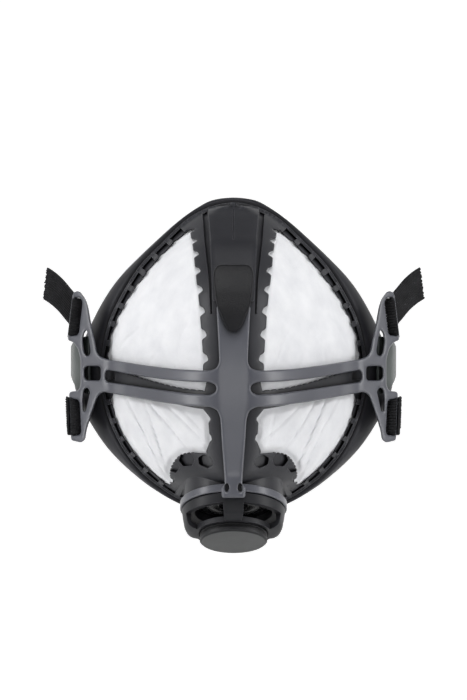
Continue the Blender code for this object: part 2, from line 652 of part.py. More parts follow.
def make_strap(name, bar, width, tail, side):
    """A loop round the bar and its tail, drawn from the bar's middle with Z along the bar."""
    start, end = bar_ends(bar, side)
    up = (start - end).normalized()
    out = Vector((side, 0.0, 0.0))
    out = (out - up * out.dot(up)).normalized()
    back = Vector((0.0, 1.0, 0.0))
    back = (back - up * back.dot(up) - out * back.dot(out)).normalized()
    path = []
    for k in range(WRAP_STEPS + 1):
        angle = math.radians(WRAP_START + WRAP_TURN * k / WRAP_STEPS)
        path.append((LOOP_R * -math.cos(angle), LOOP_R * math.sin(angle), 0.0))
    path += [(x, -forward, rise) for x, forward, rise in tail]
    bm = bmesh.new()
    bmesh.ops.create_grid(bm, x_segments=len(path) - 1, y_segments=1, size=1.0)
    for vert in bm.verts:
        x, y, rise = path[round((vert.co.x + 1) / 2 * (len(path) - 1))]
        vert.co = (out * x + back * y + up * (rise + vert.co.y * width / 2)) * MM
    bmesh.ops.recalc_face_normals(bm, faces=bm.faces)
    mesh = bpy.data.meshes.new(name)
    bm.to_mesh(mesh)
    bm.free()
    place = Matrix.Translation((start + end) / 2 * MM)
    solidify(add_object(name, mesh, place, BLACK), STRAP_THICKNESS, 0.0)


def make_straps():
    for side, word in ((-1, "left"), (1, "right")):
        make_strap(f"strap_upper_{word}", UPPER_BAR, UPPER_STRAP_WIDTH, UPPER_TAIL, side)
        make_strap(f"strap_lower_{word}", LOWER_BAR, LOWER_STRAP_WIDTH, LOWER_TAIL, side)


def make_valve():
    radius, low, high = SEAT
    seat = turned("valve_seat", ((0.0, high), (radius, high), (radius, low), (0.0, low)), DARK)
    for quarter in range(4):
        start = 90.0 * quarter + SPOKE_HALF_ANGLE
        end = 90.0 * (quarter + 1) - SPOKE_HALF_ANGLE
        reach = (SEAT_HUB, SEAT_OPENING, start, end, low - CUT_BEYOND, high + CUT_BEYOND)
        boolean(seat, sector_cutter(f"seat_opening_{quarter}", *reach), "DIFFERENCE")
    turned("exhalation_diaphragm", DIAPHRAGM_PROFILE, BLACK)
    cover = turned("valve_cover", COVER_PROFILE, DARK, closed=True)
    spans = (
        (FRONT_POST_ANGLE, 90.0 - SIDE_POST_ANGLE),
        (90.0 + SIDE_POST_ANGLE, 180.0 - FRONT_POST_ANGLE),
        (180.0 + FRONT_POST_ANGLE, 270.0 - SIDE_POST_ANGLE),
        (270.0 + SIDE_POST_ANGLE, 360.0 - FRONT_POST_ANGLE),
    )
    for number, (start, end) in enumerate(spans):
        reach = (COVER_WINDOW_INNER, RING_R + CUT_BEYOND, start, end, COVER_WINDOW_START, COVER_WINDOW_END)
        boolean(cover, sector_cutter(f"cover_window_{number}", *reach), "DIFFERENCE")
    turned("valve_cap", CAP_PROFILE, DARK)


for stale in list(bpy.data.objects):
    bpy.data.objects.remove(stale)

parts = bpy.data.collections.new(NAME)
cutters = bpy.data.collections.new("cutters")
bpy.context.scene.collection.children.link(parts)
bpy.context.scene.collection.children.link(cutters)

LATTICE_ROWS = lattice_rows()
RIM_LOOP = smooth_line(both_sides(RIM_RIGHT), OUTLINE_STEP, closed=True)
FLARE_LOOP = smooth_line(both_sides(FLARE_RIGHT), OUTLINE_STEP, closed=True)
VALVE_AT = Vector((VALVE_CENTRE[0], -VALVE_CENTRE[1], VALVE_CENTRE[2])) * MM
VALVE_FRAME = Matrix.Translation(VALVE_AT) @ Matrix.Rotation(VALVE_TILT, 4, "X")

make_mask_frame()
make_filters()
make_face_seal()
make_yoke()
make_wings()
make_grip_pad()
make_straps()
make_valve()
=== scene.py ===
"""Looks of the painter's respirator mask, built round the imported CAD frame.

Lengths are millimetres until MM is applied. "Forward" is towards the viewer, along -Y.
"""

import collections
import json
import math

import bmesh
import bpy
import numpy as np
from mathutils import Matrix, Vector, geometry, noise

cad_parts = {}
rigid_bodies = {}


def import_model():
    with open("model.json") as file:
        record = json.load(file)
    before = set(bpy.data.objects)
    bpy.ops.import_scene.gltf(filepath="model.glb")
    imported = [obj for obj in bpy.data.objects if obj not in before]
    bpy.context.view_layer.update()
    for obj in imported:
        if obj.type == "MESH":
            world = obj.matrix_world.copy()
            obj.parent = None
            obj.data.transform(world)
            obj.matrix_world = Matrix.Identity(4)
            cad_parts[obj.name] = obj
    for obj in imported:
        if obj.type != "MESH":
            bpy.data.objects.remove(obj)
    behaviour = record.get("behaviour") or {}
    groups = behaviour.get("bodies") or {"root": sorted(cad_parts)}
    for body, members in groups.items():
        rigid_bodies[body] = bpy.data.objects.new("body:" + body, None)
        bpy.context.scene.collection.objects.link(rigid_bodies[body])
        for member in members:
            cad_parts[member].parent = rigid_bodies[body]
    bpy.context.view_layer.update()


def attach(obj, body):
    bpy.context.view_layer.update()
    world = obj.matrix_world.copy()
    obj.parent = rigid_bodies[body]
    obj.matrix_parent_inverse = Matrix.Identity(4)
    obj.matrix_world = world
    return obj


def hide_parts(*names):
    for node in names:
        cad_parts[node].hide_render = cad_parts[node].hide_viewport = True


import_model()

MM = 0.001

# The shell: its crest and rim as (height, forward), its rim as seen from the front, and its cross-section.
RIDGE = (
    (-61.5, 2.0), (-58.2, 8.5), (-55.5, 18.0), (-52.0, 29.5), (-49.0, 39.0), (-46.0, 45.0),
    (-42.0, 47.2), (-32.0, 47.8), (-17.0, 48.0), (-7.0, 47.6), (3.0, 46.5), (12.5, 44.5),
    (22.0, 41.0), (29.0, 37.0), (36.0, 31.5), (42.0, 26.0), (47.0, 19.0), (52.5, 11.0),
    (58.5, 2.0), (61.5, -1.0),
)
RIM_RIGHT = (
    (0.0, 59.5), (10.0, 57.4), (18.4, 52.6), (27.8, 43.7), (36.5, 34.5), (44.0, 22.6),
    (48.6, 12.5), (51.3, 0.0), (51.6, -9.0), (50.2, -18.0), (47.0, -27.0), (42.5, -35.5),
    (36.5, -43.0), (29.0, -49.5), (18.0, -55.8), (0.0, -59.5),
)
RIM_DEPTH = (
    (-60.0, 3.0), (-45.0, 2.0), (-30.0, -3.0), (-8.0, -7.0), (15.0, -5.0), (40.0, -1.0), (60.0, 0.0),
)
SHOULDER = ((-60.0, 1.0), (-45.0, 1.5), (-20.0, 4.0), (10.0, 5.0), (35.0, 6.5), (60.0, 7.0))
FULLNESS = ((-60.0, 1.6), (-45.0, 1.5), (-20.0, 1.5), (0.0, 1.4), (30.0, 1.4), (60.0, 1.5))
SHELL_THICKNESS = 2.2
FLANGE = 0.8
GAP = 0.35
LIP = 1.5
NECK_HOLE_R, NECK_HOLE_Z, NECK_HOLE_FLATNESS = 14.0, -57.0, 0.42
SHARP_ANGLE, SOFT_ANGLE = 40.0, 60.0

# How finely curves and plates are drawn, and how the edges of a plate's steps are laid out.
OUTLINE_STEP = 1.2
ROUND = 128
STEEPEST = 2.3
SLOPE_REACH = 0.8
EDGE_STEP = 0.7
STEP_WALL, STEP_INSIDE = 0.22, 0.06
POINT_GRID, POINT_CLEARANCE = 0.12, 0.16
THINNEST = 0.15
FRAME_CELL, FRAME_ROUNDING = 1.1, 0.4
SAME_POINT = 1e-6

# The edges of the two right-hand windows.
UPPER_INNER = (
    (15.1, 49.6), (13.6, 42.0), (12.3, 31.0), (11.0, 21.0), (10.1, 10.0), (9.4, 0.0), (9.3, -9.0),
)
UPPER_LOWER = ((10.6, -12.4), (20.0, -11.5), (31.5, -9.0), (40.0, -6.7), (47.6, -4.4))
UPPER_OUTER = (
    (49.2, 0.4), (48.1, 7.8), (45.9, 14.0), (42.7, 20.3), (38.8, 26.5), (34.6, 31.8),
    (30.8, 36.6), (26.9, 40.8), (22.6, 45.0), (17.6, 49.2),
)
LOWER_UPPER = ((46.8, -13.6), (39.7, -14.2), (25.6, -16.8), (15.7, -18.5), (11.2, -19.1))
LOWER_INNER = ((8.6, -22.0), (8.2, -27.0), (8.2, -32.0), (10.0, -36.0))
LOWER_LOBE = ((14.3, -35.4), (19.6, -36.7), (22.9, -40.5), (24.0, -44.4), (24.2, -49.6))
LOWER_OUTER = (
    (26.6, -48.6), (31.3, -44.7), (35.3, -41.0), (38.4, -37.4), (41.3, -33.6), (43.9, -29.2),
    (45.8, -25.0), (47.2, -20.5), (48.2, -16.6),
)
# One tooth, as (share of the pitch, share of the height). Each edge has a pitch, a height and a setback.
TOOTH_SHAPE = (
    (0.03, 0.08), (0.09, 0.0), (0.15, 0.08), (0.25, 0.8), (0.31, 1.0), (0.77, 1.0), (0.83, 0.88),
    (0.93, 0.25),
)
EDGE_TEETH = {
    UPPER_INNER: (9.5, 1.9, 0.0),
    UPPER_LOWER: (3.6, 0.22, 0.0),
    UPPER_OUTER: (8.0, 0.45, 0.3),
    LOWER_UPPER: None,
    LOWER_INNER: (7.0, 0.8, 0.0),
    LOWER_LOBE: (2.4, 0.3, 0.0),
    LOWER_OUTER: (8.0, 0.45, 0.3),
}

# The cloth covers and the media behind them.
FILTER_MARGIN = 0.9
FABRIC_CELL, MEDIA_CELL = 0.62, 2.0
CLOTH_RAMP, CLOTH_SINK, CLOTH_RISE = 3.0, 0.2, 1.1
CLOTH_DRIFT, CLOTH_RIPPLE = 0.22, 0.05
CLOTH_BACK = -3.4
COVER_THICKNESS, MEDIA_THICKNESS = 1.4, 1.2

# The flared face seal.
FLARE_RIGHT = (
    (0.0, 62.0), (8.0, 61.2), (12.6, 58.9), (19.6, 54.0), (25.6, 49.3), (36.2, 39.8), (45.8, 30.4),
    (52.6, 20.9), (58.9, 9.1), (62.9, -0.5), (64.4, -9.3), (61.6, -18.5), (55.4, -29.2),
    (48.0, -38.5), (36.9, -47.9), (25.7, -54.9), (13.0, -60.0), (0.0, -62.6),
)
FLARE_DEPTH = (
    (-63.0, -9.0), (-45.0, -14.0), (-25.0, -21.0), (-5.0, -26.0), (12.0, -22.0), (35.0, -11.0),
    (62.0, -5.0),
)
SEAL_THICKNESS = 1.5
SEAL_AROUND = 240
LIP_TURN_IN = 8.5
LIP_DROP = 7.0

# The harness yoke, its slits and its strap bars.
YOKE_LIFT = 0.7
YOKE_THICKNESS = 2.6
YOKE_CHIN_RIDGE = ((-56.0, 51.0), (-48.0, 48.9), (-42.0, 47.7), (-32.0, 47.8))
BRACKET_START, BRACKET_FULL = 40.0, 50.0
BRACKET_DEPTH, BRACKET_SLOPE = -1.8, -0.92
YOKE_RIGHT = (
    (0.0, 19.0), (6.3, 19.0), (5.6, 6.5), (5.2, -1.6), (6.1, -3.9), (8.6, -4.85), (11.1, -4.85),
    (22.5, -4.3), (33.9, -3.0), (48.8, -1.0), (51.9, 0.0), (53.4, 1.6), (54.2, 6.2), (56.0, 13.3),
    (57.1, 19.6), (58.2, 22.8), (60.4, 25.6), (61.6, 26.0), (63.4, 25.4), (63.4, 23.7), (60.2, 23.2),
    (59.4, 21.5), (60.9, 9.6), (61.6, 8.5), (65.6, 8.2), (65.6, 6.6), (63.4, 5.8), (61.4, 3.4),
    (60.2, -1.0), (60.2, -11.0), (61.2, -13.4), (65.0, -13.8), (65.2, -16.4), (61.2, -16.9),
    (60.6, -18.2), (60.0, -29.6), (60.6, -30.8), (64.4, -31.2), (64.2, -33.0), (60.0, -33.8),
    (58.4, -32.6), (57.8, -28.8), (56.2, -23.7), (54.2, -18.2), (52.8, -14.8), (50.8, -13.6),
    (40.0, -15.1), (27.9, -16.8), (16.7, -17.9), (8.5, -18.1), (5.8, -19.4), (4.8, -22.4),
    (4.2, -32.0), (3.3, -44.0), (3.2, -46.6), (4.4, -47.4), (4.4, -50.3), (4.0, -51.2), (0.0, -51.2),
)
SLIT = (
    (8.6, -9.1), (16.7, -9.0), (27.9, -8.1), (40.0, -6.5), (49.0, -5.1), (49.8, -6.4), (49.8, -8.6),
    (49.0, -9.8), (40.0, -10.7), (27.9, -12.2), (16.7, -13.4), (8.6, -13.8), (6.6, -12.7), (6.2, -11.4),
    (6.6, -10.1),
)
BRACKET_WINDOW = (
    (52.4, -3.6), (57.6, -3.6), (58.6, -4.6), (58.6, -8.1), (57.6, -9.2), (52.4, -9.2), (51.7, -8.2),
    (51.7, -4.6),
)
UPPER_TEARDROP = (
    (57.7, 10.8), (58.9, 9.2), (59.3, 6.0), (58.6, 1.4), (57.6, 0.3), (56.4, 0.7), (56.0, 2.2),
    (56.8, 7.6),
)
LOWER_TEARDROP = (
    (57.4, -11.9), (58.8, -13.0), (59.3, -17.4), (59.0, -21.4), (58.0, -21.4), (57.2, -18.0),
    (56.2, -13.6),
)
KEYHOLE_X, KEYHOLE_Z, KEYHOLE_WIDE, KEYHOLE_HIGH = 2.4, -47.55, 0.85, 1.5
YOKE_CORNER, SLIT_CORNER, HOLE_CORNER = 1.1, 1.2, 0.8
YOKE_CELL, YOKE_ROUNDING = 1.2, 0.75
BAR_R = 1.1
UPPER_BAR = ((62.6, 24.4), (64.8, 7.6))
LOWER_BAR = ((63.9, -15.2), (63.3, -31.8))

# The pale wings behind the brackets, as (distance out, forward).
WING_SECTION = ((56.8, -8.7), (60.2, -12.0), (62.8, -15.6), (64.4, -19.0))
WING_TOP, WING_BOTTOM = 8.0, -14.6
WING_THICKNESS = 1.1
WING_TOP_TAPER, WING_BOTTOM_REACH = 0.35, 0.93

# The grip pad, the nose panel under it, and the recesses of the frame.
PAD_RIGHT = (
    (0.0, 34.3), (4.7, 34.3), (6.6, 33.2), (7.35, 30.3), (6.9, 24.5), (6.2, 19.4), (4.9, 16.4),
    (3.4, 12.7), (1.9, 10.0), (0.0, 9.3),
)
PAD_UNDERSIDE, PAD_THICKNESS = 3.7, 2.2
PAD_CELL, PAD_ROUNDING = 0.9, 0.45
PAD_POST = ((-4.8, 32.4), (4.8, 32.4), (4.8, 20.4), (-4.8, 20.4))
NOSE_PANEL = ((9.9, 58.6), (8.6, 44.0), (7.6, 20.8))
NOSE_PANEL_HEIGHT = 1.1
NOSE_SEAM_DEPTH, NOSE_GROOVE_DEPTH, CHANNEL_DEPTH, POCKET_DEPTH = -0.18, -0.8, -0.95, -1.25
NOSE_SEAM = ((-0.2, 44.5), (0.2, 44.5), (0.2, 57.0), (-0.2, 57.0))
NOSE_GROOVE = (
    (11.9, 55.6), (10.2, 56.6), (9.1, 44.0), (8.3, 30.0), (7.9, 16.0), (8.4, 16.0), (9.3, 30.0),
    (10.9, 44.0),
)
CHANNEL_START, CHANNEL_END = 24.0, 22.0
CHANNEL_PITCH, CHANNEL_BRIDGE = 8.0, 2.4
CHANNEL_OUTER, CHANNEL_INNER, CHANNEL_PARTS = 0.55, 5.4, 6
POCKETS = (
    (10.3, -38.4, 6.0, 4.2, 22.0), (17.4, -38.2, 6.2, 4.8, -8.0), (22.4, -41.4, 4.4, 3.8, -50.0),
    (23.8, -46.4, 4.0, 2.6, -80.0),
)

# The elastic straps: each wraps its bar by so many degrees, then follows its tail.
STRAP_THICKNESS = 1.1
LOOP_R = BAR_R + GAP + STRAP_THICKNESS / 2
UPPER_STRAP_WIDTH, LOWER_STRAP_WIDTH = 12.4, 12.6
UPPER_WRAP, LOWER_WRAP = 200.0, 290.0
UPPER_TAIL = (
    (0.9, -3.0, 2.6), (2.8, -4.4, 4.3), (6.5, -7.6, 7.2), (10.2, -11.0, 9.2), (13.3, -14.0, 10.3),
)
LOWER_TAIL = ((1.2, -6.0, 0.6), (2.4, -10.0, 1.2), (3.4, -14.0, 1.6))
WRAP_START, WRAP_TURNS = -110.0, 12
SLOT_REACH = 0.95
LOOP_EXTRA, LOOP_TAPER = 1.7, 8
STRAP_STEP = 0.45
STRAP_RIBS, RIB_POINTS = 13, 6
RIB_HEIGHT, RIB_SHAPE, RIB_UNEVEN = 0.42, 0.6, 0.25
FRAY_ROWS, FRAY_SLOW, FRAY_FAST = 4, 0.5, 1.3

# The valve, turned round its own axis: profiles are (radius, distance along it).
VALVE_TILT = math.radians(155.0)
VALVE_CENTRE = (0.0, 28.0, -56.4)
VALVE_MIDDLE = Vector((VALVE_CENTRE[0], -VALVE_CENTRE[1], VALVE_CENTRE[2])) * MM
VALVE_FRAME = Matrix.Translation(VALVE_MIDDLE) @ Matrix.Rotation(VALVE_TILT, 4, "X")
NECK_R, BORE_R = 18.6, 15.6
NECK_INNER, NECK_OUTER = -12.5, 1.0
RING_R, RING_INNER, RING_OUTER = 20.1, -1.8, 1.2
RING_BEVEL = 0.3
FOOT_GAP = 9.0
CUT_SPARE = 1.0
SEAT = (15.25, -4.6, -1.7)
SEAT_OPENING, SEAT_HUB = 12.2, 3.2
SPOKE_HALF_ANGLE = 9.0
DIAPHRAGM_PROFILE = (
    (0.0, 0.4), (1.7, 0.2), (1.9, -0.7), (5.0, -0.7), (5.6, -0.35), (6.2, -0.7), (9.2, -0.7),
    (9.8, -0.35), (10.4, -0.7), (13.2, -0.9), (13.2, -1.35), (0.0, -1.35),
)
COVER_PROFILE = (
    (12.95, 10.8), (14.5, 10.8), (16.3, 10.3), (17.7, 9.4), (18.4, 8.0), (19.1, 4.2), (19.4, 1.6),
    (15.25, 1.6), (15.25, -0.4), (14.5, -0.4), (14.5, 2.4), (16.9, 3.4), (16.9, 7.4), (16.2, 8.4),
    (14.5, 8.9), (12.95, 8.9),
)
COVER_WINDOW_INNER, COVER_WINDOW_START, COVER_WINDOW_END = 14.4, 5.0, 12.0
FRONT_POST_ANGLE, SIDE_POST_ANGLE = 11.5, 21.0
CAP_PROFILE = (
    (0.0, 14.1), (11.9, 14.1), (12.6, 13.5), (12.6, 12.3), (12.0, 12.0), (12.0, 11.5), (12.6, 11.2),
    (12.6, 9.3), (11.2, 9.3), (11.2, 12.6), (0.0, 12.6),
)

# Soft folds of the cloth, as start, end, height and half width. x is the distance out from the middle.
CREASE_DEPTH, CREASE_WIDTH, FOLD_GAIN = -1.3, 0.45, 1.15
FOLD_WANDER, FOLD_WAVES, FOLD_FADE = 0.7, 3.0, 0.12
UPPER_FOLDS = {
    "left": (
        ((19.5, 7.0), (20.5, -4.0), 0.22, 1.3),
        ((23.5, 3.0), (21.5, -6.0), 0.2, 1.6),
        ((37.0, 11.0), (43.5, 3.5), 0.3, 1.8),
        ((15.0, 34.0), (24.0, 20.0), 0.12, 1.8),
        ((30.0, 2.0), (33.0, -6.0), 0.15, 2.0),
        ((16.0, 20.0), (19.0, 8.0), 0.15, 1.4),
    ),
    "right": (
        ((20.5, 12.0), (16.5, -3.0), 0.25, 1.3),
        ((26.0, 3.0), (24.0, -7.0), 0.2, 1.6),
        ((38.0, 14.0), (44.0, 5.0), 0.2, 1.8),
        ((17.0, 36.0), (23.0, 22.0), 0.12, 1.8),
        ((32.0, 8.0), (36.0, -4.0), 0.15, 2.2),
    ),
}
LOWER_FOLDS = {
    "left": (
        ((42.0, -16.0), (24.0, -48.0), 0.55, 1.8),
        ((35.5, -15.0), (24.5, -43.0), 0.45, 1.5),
        ((34.0, -15.0), (16.0, -36.5), 0.5, 1.6),
        ((28.5, -15.5), (8.5, -34.0), 0.45, 1.6),
        ((21.0, -17.0), (12.0, -28.0), 0.2, 1.8),
        ((46.0, -20.0), (33.0, -42.0), 0.25, 1.4),
    ),
    "right": (
        ((41.0, -15.0), (24.5, -48.0), 0.5, 1.8),
        ((36.5, -15.0), (22.5, -42.0), 0.5, 1.6),
        ((31.5, -15.5), (17.0, -37.0), 0.45, 1.5),
        ((26.0, -16.0), (9.0, -33.0), 0.4, 1.7),
        ((44.5, -18.0), (31.0, -43.0), 0.3, 1.4),
        ((17.0, -18.0), (12.5, -30.0), 0.2, 1.6),
    ),
}


def interpolate(knots):
    """A smooth monotone curve through (position, value) knots, for arrays."""
    knots = sorted(knots)
    at = [k[0] for k in knots]
    value = [k[1] for k in knots]
    rise = [(value[i + 1] - value[i]) / (at[i + 1] - at[i]) for i in range(len(at) - 1)]
    slope = [rise[0]]
    for before, after in zip(rise, rise[1:]):
        slope.append(2 * before * after / (before + after) if before * after > 0 else 0.0)
    slope.append(rise[-1])
    places = np.linspace(at[0], at[-1], 4000)
    piece = np.clip(np.searchsorted(at, places, side="right") - 1, 0, len(at) - 2)
    at, value, slope = np.array(at), np.array(value), np.array(slope)
    width = at[piece + 1] - at[piece]
    s = (places - at[piece]) / width
    low = (1 + 2 * s) * (1 - s) ** 2 * value[piece] + s * (1 - s) ** 2 * width * slope[piece]
    high = s * s * (3 - 2 * s) * value[piece + 1] + s * s * (s - 1) * width * slope[piece + 1]
    table = low + high
    return lambda x: np.interp(x, places, table)


ridge = interpolate(RIDGE)
rim_width = interpolate([(z, x) for x, z in RIM_RIGHT])
rim_depth = interpolate(RIM_DEPTH)
shoulder = interpolate(SHOULDER)
fullness = interpolate(FULLNESS)
flare_depth = interpolate(FLARE_DEPTH)
above_chin = tuple(knot for knot in RIDGE if knot[0] > YOKE_CHIN_RIDGE[-1][0])
yoke_ridge = interpolate(YOKE_CHIN_RIDGE + above_chin)


def shell_depth(x, z, crest=ridge, most=1.0):
    """How far forward the shell's face is."""
    width = np.maximum(rim_width(z), 0.5)
    start = np.minimum(shoulder(z), 0.45 * width)
    across = np.clip((np.abs(x) - start) / (width - start), 0.0, most)
    return rim_depth(z) + (crest(z) - rim_depth(z)) * (1 - across ** fullness(z))


def core_depth(x, z):
    """The shell's face, carried on past its rim for the cloth behind it."""
    return shell_depth(x, z, most=1.3)


def yoke_depth(x, z):
    """How far forward the yoke's seat is: the shell, then a straight slope for the brackets."""
    share = np.clip((np.abs(x) - BRACKET_START) / (BRACKET_FULL - BRACKET_START), 0.0, 1.0)
    share = share * share * (3 - 2 * share)
    beyond = BRACKET_DEPTH + BRACKET_SLOPE * (np.abs(x) - BRACKET_FULL)
    return (1 - share) * shell_depth(x, z, yoke_ridge) + share * beyond


def catmull(a, b, c, d, t):
    """The spline between b and c."""
    bend = (2 * a - 5 * b + 4 * c - d) * t * t
    twist = (3 * b - a - 3 * c + d) * t**3
    return 0.5 * (2 * b + (c - a) * t + bend + twist)


def smooth_line(points, step, closed=False):
    """Catmull-Rom points through an outline, about a step apart."""
    count = len(points)
    out = []
    for i in range(count if closed else count - 1):
        if closed:
            p0, p1, p2, p3 = (points[(i + k) % count] for k in (-1, 0, 1, 2))
        else:
            p0, p1, p2, p3 = (points[min(max(i + k, 0), count - 1)] for k in (-1, 0, 1, 2))
        parts = max(1, round(math.dist(p1, p2) / step))
        for k in range(parts):
            out.append(tuple(catmull(a, b, c, d, k / parts) for a, b, c, d in zip(p0, p1, p2, p3)))
    if not closed:
        out.append(points[-1])
    return out


def rounded(points, radius, steps=3):
    """A closed outline with each corner cut back to a small curve."""
    made = []
    for before, here, after in zip(points[-1:] + points[:-1], points, points[1:] + points[:1]):
        a, h, c = Vector(before), Vector(here), Vector(after)
        back = min(radius, 0.42 * (a - h).length, 0.42 * (c - h).length)
        p, q = h + (a - h).normalized() * back, h + (c - h).normalized() * back
        for k in range(steps + 1):
            t = k / steps
            made.append(tuple((1 - t) ** 2 * p + 2 * t * (1 - t) * h + t * t * q))
    return made


def toothed_line(points, side, pitch_wanted, height, back):
    """The smooth line with teeth standing off it to one side, at an even pitch along the curved shell."""
    line = smooth_line(points, 0.6)
    solid = [Vector((x, -float(shell_depth(x, z)), z)) for x, z in line]
    lengths = [0.0]
    for a, b in zip(solid, solid[1:]):
        lengths.append(lengths[-1] + (b - a).length)

    def at(distance, out):
        i = max(k for k in range(len(line) - 1) if lengths[k] <= distance)
        t = (distance - lengths[i]) / (lengths[i + 1] - lengths[i])
        here = Vector(line[i]).lerp(Vector(line[i + 1]), t)
        along = (Vector(line[min(i + 2, len(line) - 1)]) - Vector(line[max(i - 1, 0)])).normalized()
        return (here.x - side * along.y * out, here.y + side * along.x * out)

    teeth = max(1, round(lengths[-1] / pitch_wanted))
    pitch = lengths[-1] / teeth
    made = []
    for tooth in range(teeth):
        for share, out in TOOTH_SHAPE:
            made.append(at((tooth + share) * pitch, out * height - back))
    return made


def grown(outline, amount):
    """A closed outline moved outwards; the outline runs clockwise as seen from the front."""
    made = []
    for before, here, after in zip(outline[-1:] + outline[:-1], outline, outline[1:] + outline[:1]):
        dx, dz = after[0] - before[0], after[1] - before[1]
        run = math.hypot(dx, dz)
        made.append((here[0] - dz / run * amount, here[1] + dx / run * amount))
    return made


def area(outline):
    return sum(a[0] * b[1] - b[0] * a[1] for a, b in zip(outline, outline[1:] + outline[:1])) / 2


def clockwise(outline):
    return outline if area(outline) < 0 else outline[::-1]


def ellipse(x, z, wide, high, parts):
    """An oval with this many points in each half turn."""
    turns = [k * math.pi / parts for k in range(2 * parts)]
    return [(x + wide * math.cos(turn), z + high * math.sin(turn)) for turn in turns]


def both_sides(half):
    """A half outline that starts and ends on the centre line, closed by its mirror image."""
    return list(half) + [(-x, z) for x, z in half[::-1] if x > 0]


def mirrored(outline, side):
    return [(side * x, z) for x, z in outline]


# Objects and modifiers.

looks = bpy.data.collections.new("looks")
tools = bpy.data.collections.new("tools")
bpy.context.scene.collection.children.link(looks)
bpy.context.scene.collection.children.link(tools)


def add_object(name, mesh, place=None, cutter=False):
    obj = bpy.data.objects.new(name, mesh)
    if place is not None:
        obj.matrix_world = place
    (tools if cutter else looks).objects.link(obj)
    return obj


def mesh_of(bm, name):
    """A new mesh with the bmesh's shape. The bmesh is freed."""
    mesh = bpy.data.meshes.new(name)
    bm.to_mesh(mesh)
    bm.free()
    return mesh


def boolean(obj, other, operation):
    cut = obj.modifiers.new(operation.lower(), "BOOLEAN")
    cut.operation = operation
    cut.solver = "EXACT"
    cut.object = other


def settle(obj, smooth_angle=34.0):
    """Applies an object's modifiers and place, and shades it smooth with sharp edges past an angle."""
    bpy.context.view_layer.update()
    graph = bpy.context.evaluated_depsgraph_get()
    mesh = bpy.data.meshes.new_from_object(obj.evaluated_get(graph), depsgraph=graph)
    mesh.transform(obj.matrix_world)
    bm = bmesh.new()
    bm.from_mesh(mesh)
    bmesh.ops.remove_doubles(bm, verts=bm.verts, dist=SAME_POINT)
    bmesh.ops.dissolve_degenerate(bm, edges=bm.edges, dist=SAME_POINT)
    bm.to_mesh(mesh)
    bm.free()
    mesh.shade_smooth()
    mesh.set_sharp_from_angle(angle=math.radians(smooth_angle))
    obj.modifiers.clear()
    obj.data = mesh
    obj.matrix_world = Matrix.Identity(4)
    return obj


def clear_tools():
    for obj in list(tools.objects):
        bpy.data.objects.remove(obj)


def flat_block(name, outline, place, half_height):
    """A block with the given outline in its own XY plane."""
    curve = bpy.data.curves.new(name, "CURVE")
    curve.dimensions = "2D"
    curve.fill_mode = "BOTH"
    curve.extrude = half_height * MM
    spline = curve.splines.new("POLY")
    spline.points.add(len(outline) - 1)
    for point, (x, y) in zip(spline.points, outline):
        point.co = (x * MM, y * MM, 0.0, 1.0)
    spline.use_cyclic_u = True
    drawn = bpy.data.objects.new(name, curve)
    tools.objects.link(drawn)
    bpy.context.view_layer.update()
    graph = bpy.context.evaluated_depsgraph_get()
    mesh = bpy.data.meshes.new_from_object(drawn.evaluated_get(graph), depsgraph=graph)
    bpy.data.objects.remove(drawn)
    bm = bmesh.new()
    bm.from_mesh(mesh)
    bmesh.ops.remove_doubles(bm, verts=bm.verts, dist=SAME_POINT)
    bmesh.ops.recalc_face_normals(bm, faces=bm.faces)
    bm.to_mesh(mesh)
    bm.free()
    return add_object(name, mesh, place, cutter=True)


def off_surface(depth, x, z, distance):
    """Points off a depth surface, moved straight forward until they are that far from it."""
    reach = SLOPE_REACH
    across = (depth(x + reach, z) - depth(x - reach, z)) / (2 * reach)
    up = (depth(x, z + reach) - depth(x, z - reach)) / (2 * reach)
    stretch = np.minimum(np.sqrt(1 + across**2 + up**2), STEEPEST)
    return np.stack([x, -depth(x, z) - stretch * distance, z], axis=-1)


def resampled(line, step):
    """A closed outline with its long sides split."""
    made = []
    for a, b in zip(line, line[1:] + line[:1]):
        parts = max(1, math.ceil(math.dist(a, b) / step))
        for k in range(parts):
            made.append((a[0] + (b[0] - a[0]) * k / parts, a[1] + (b[1] - a[1]) * k / parts))
    return made


def edge_distance(lines, points):
    """How far each point is from the nearest of some closed outlines."""
    nearest = np.full(len(points), 1e9)
    for line in lines:
        a = np.array(line)
        run = np.roll(a, -1, axis=0) - a
        size = np.maximum((run * run).sum(1), 1e-12)
        for start in range(0, len(points), 2000):
            part = points[start : start + 2000]
            away = part[:, None, :] - a[None]
            t = np.clip((away * run[None]).sum(2) / size[None], 0.0, 1.0)
            gap = away - t[:, :, None] * run[None]
            found = np.sqrt((gap * gap).sum(2)).min(1)
            nearest[start : start + 2000] = np.minimum(nearest[start : start + 2000], found)
    return nearest


def inside_of(line, points):
    """Whether each point is inside a closed outline."""
    a = np.array(line)
    b = np.roll(a, -1, axis=0)
    x, z = points[:, 0][:, None], points[:, 1][:, None]
    crosses = (a[None, :, 1] > z) != (b[None, :, 1] > z)
    rise = np.where(b[:, 1] == a[:, 1], 1e-12, b[:, 1] - a[:, 1])
    at = a[None, :, 0] + (z - a[None, :, 1]) * ((b[:, 0] - a[:, 0]) / rise)[None]
    return (crosses & (x < at)).sum(1) % 2 == 1


def within(outline, holes, points):
    found = inside_of(outline, points)
    for hole in holes:
        found &= ~inside_of(hole, points)
    return found


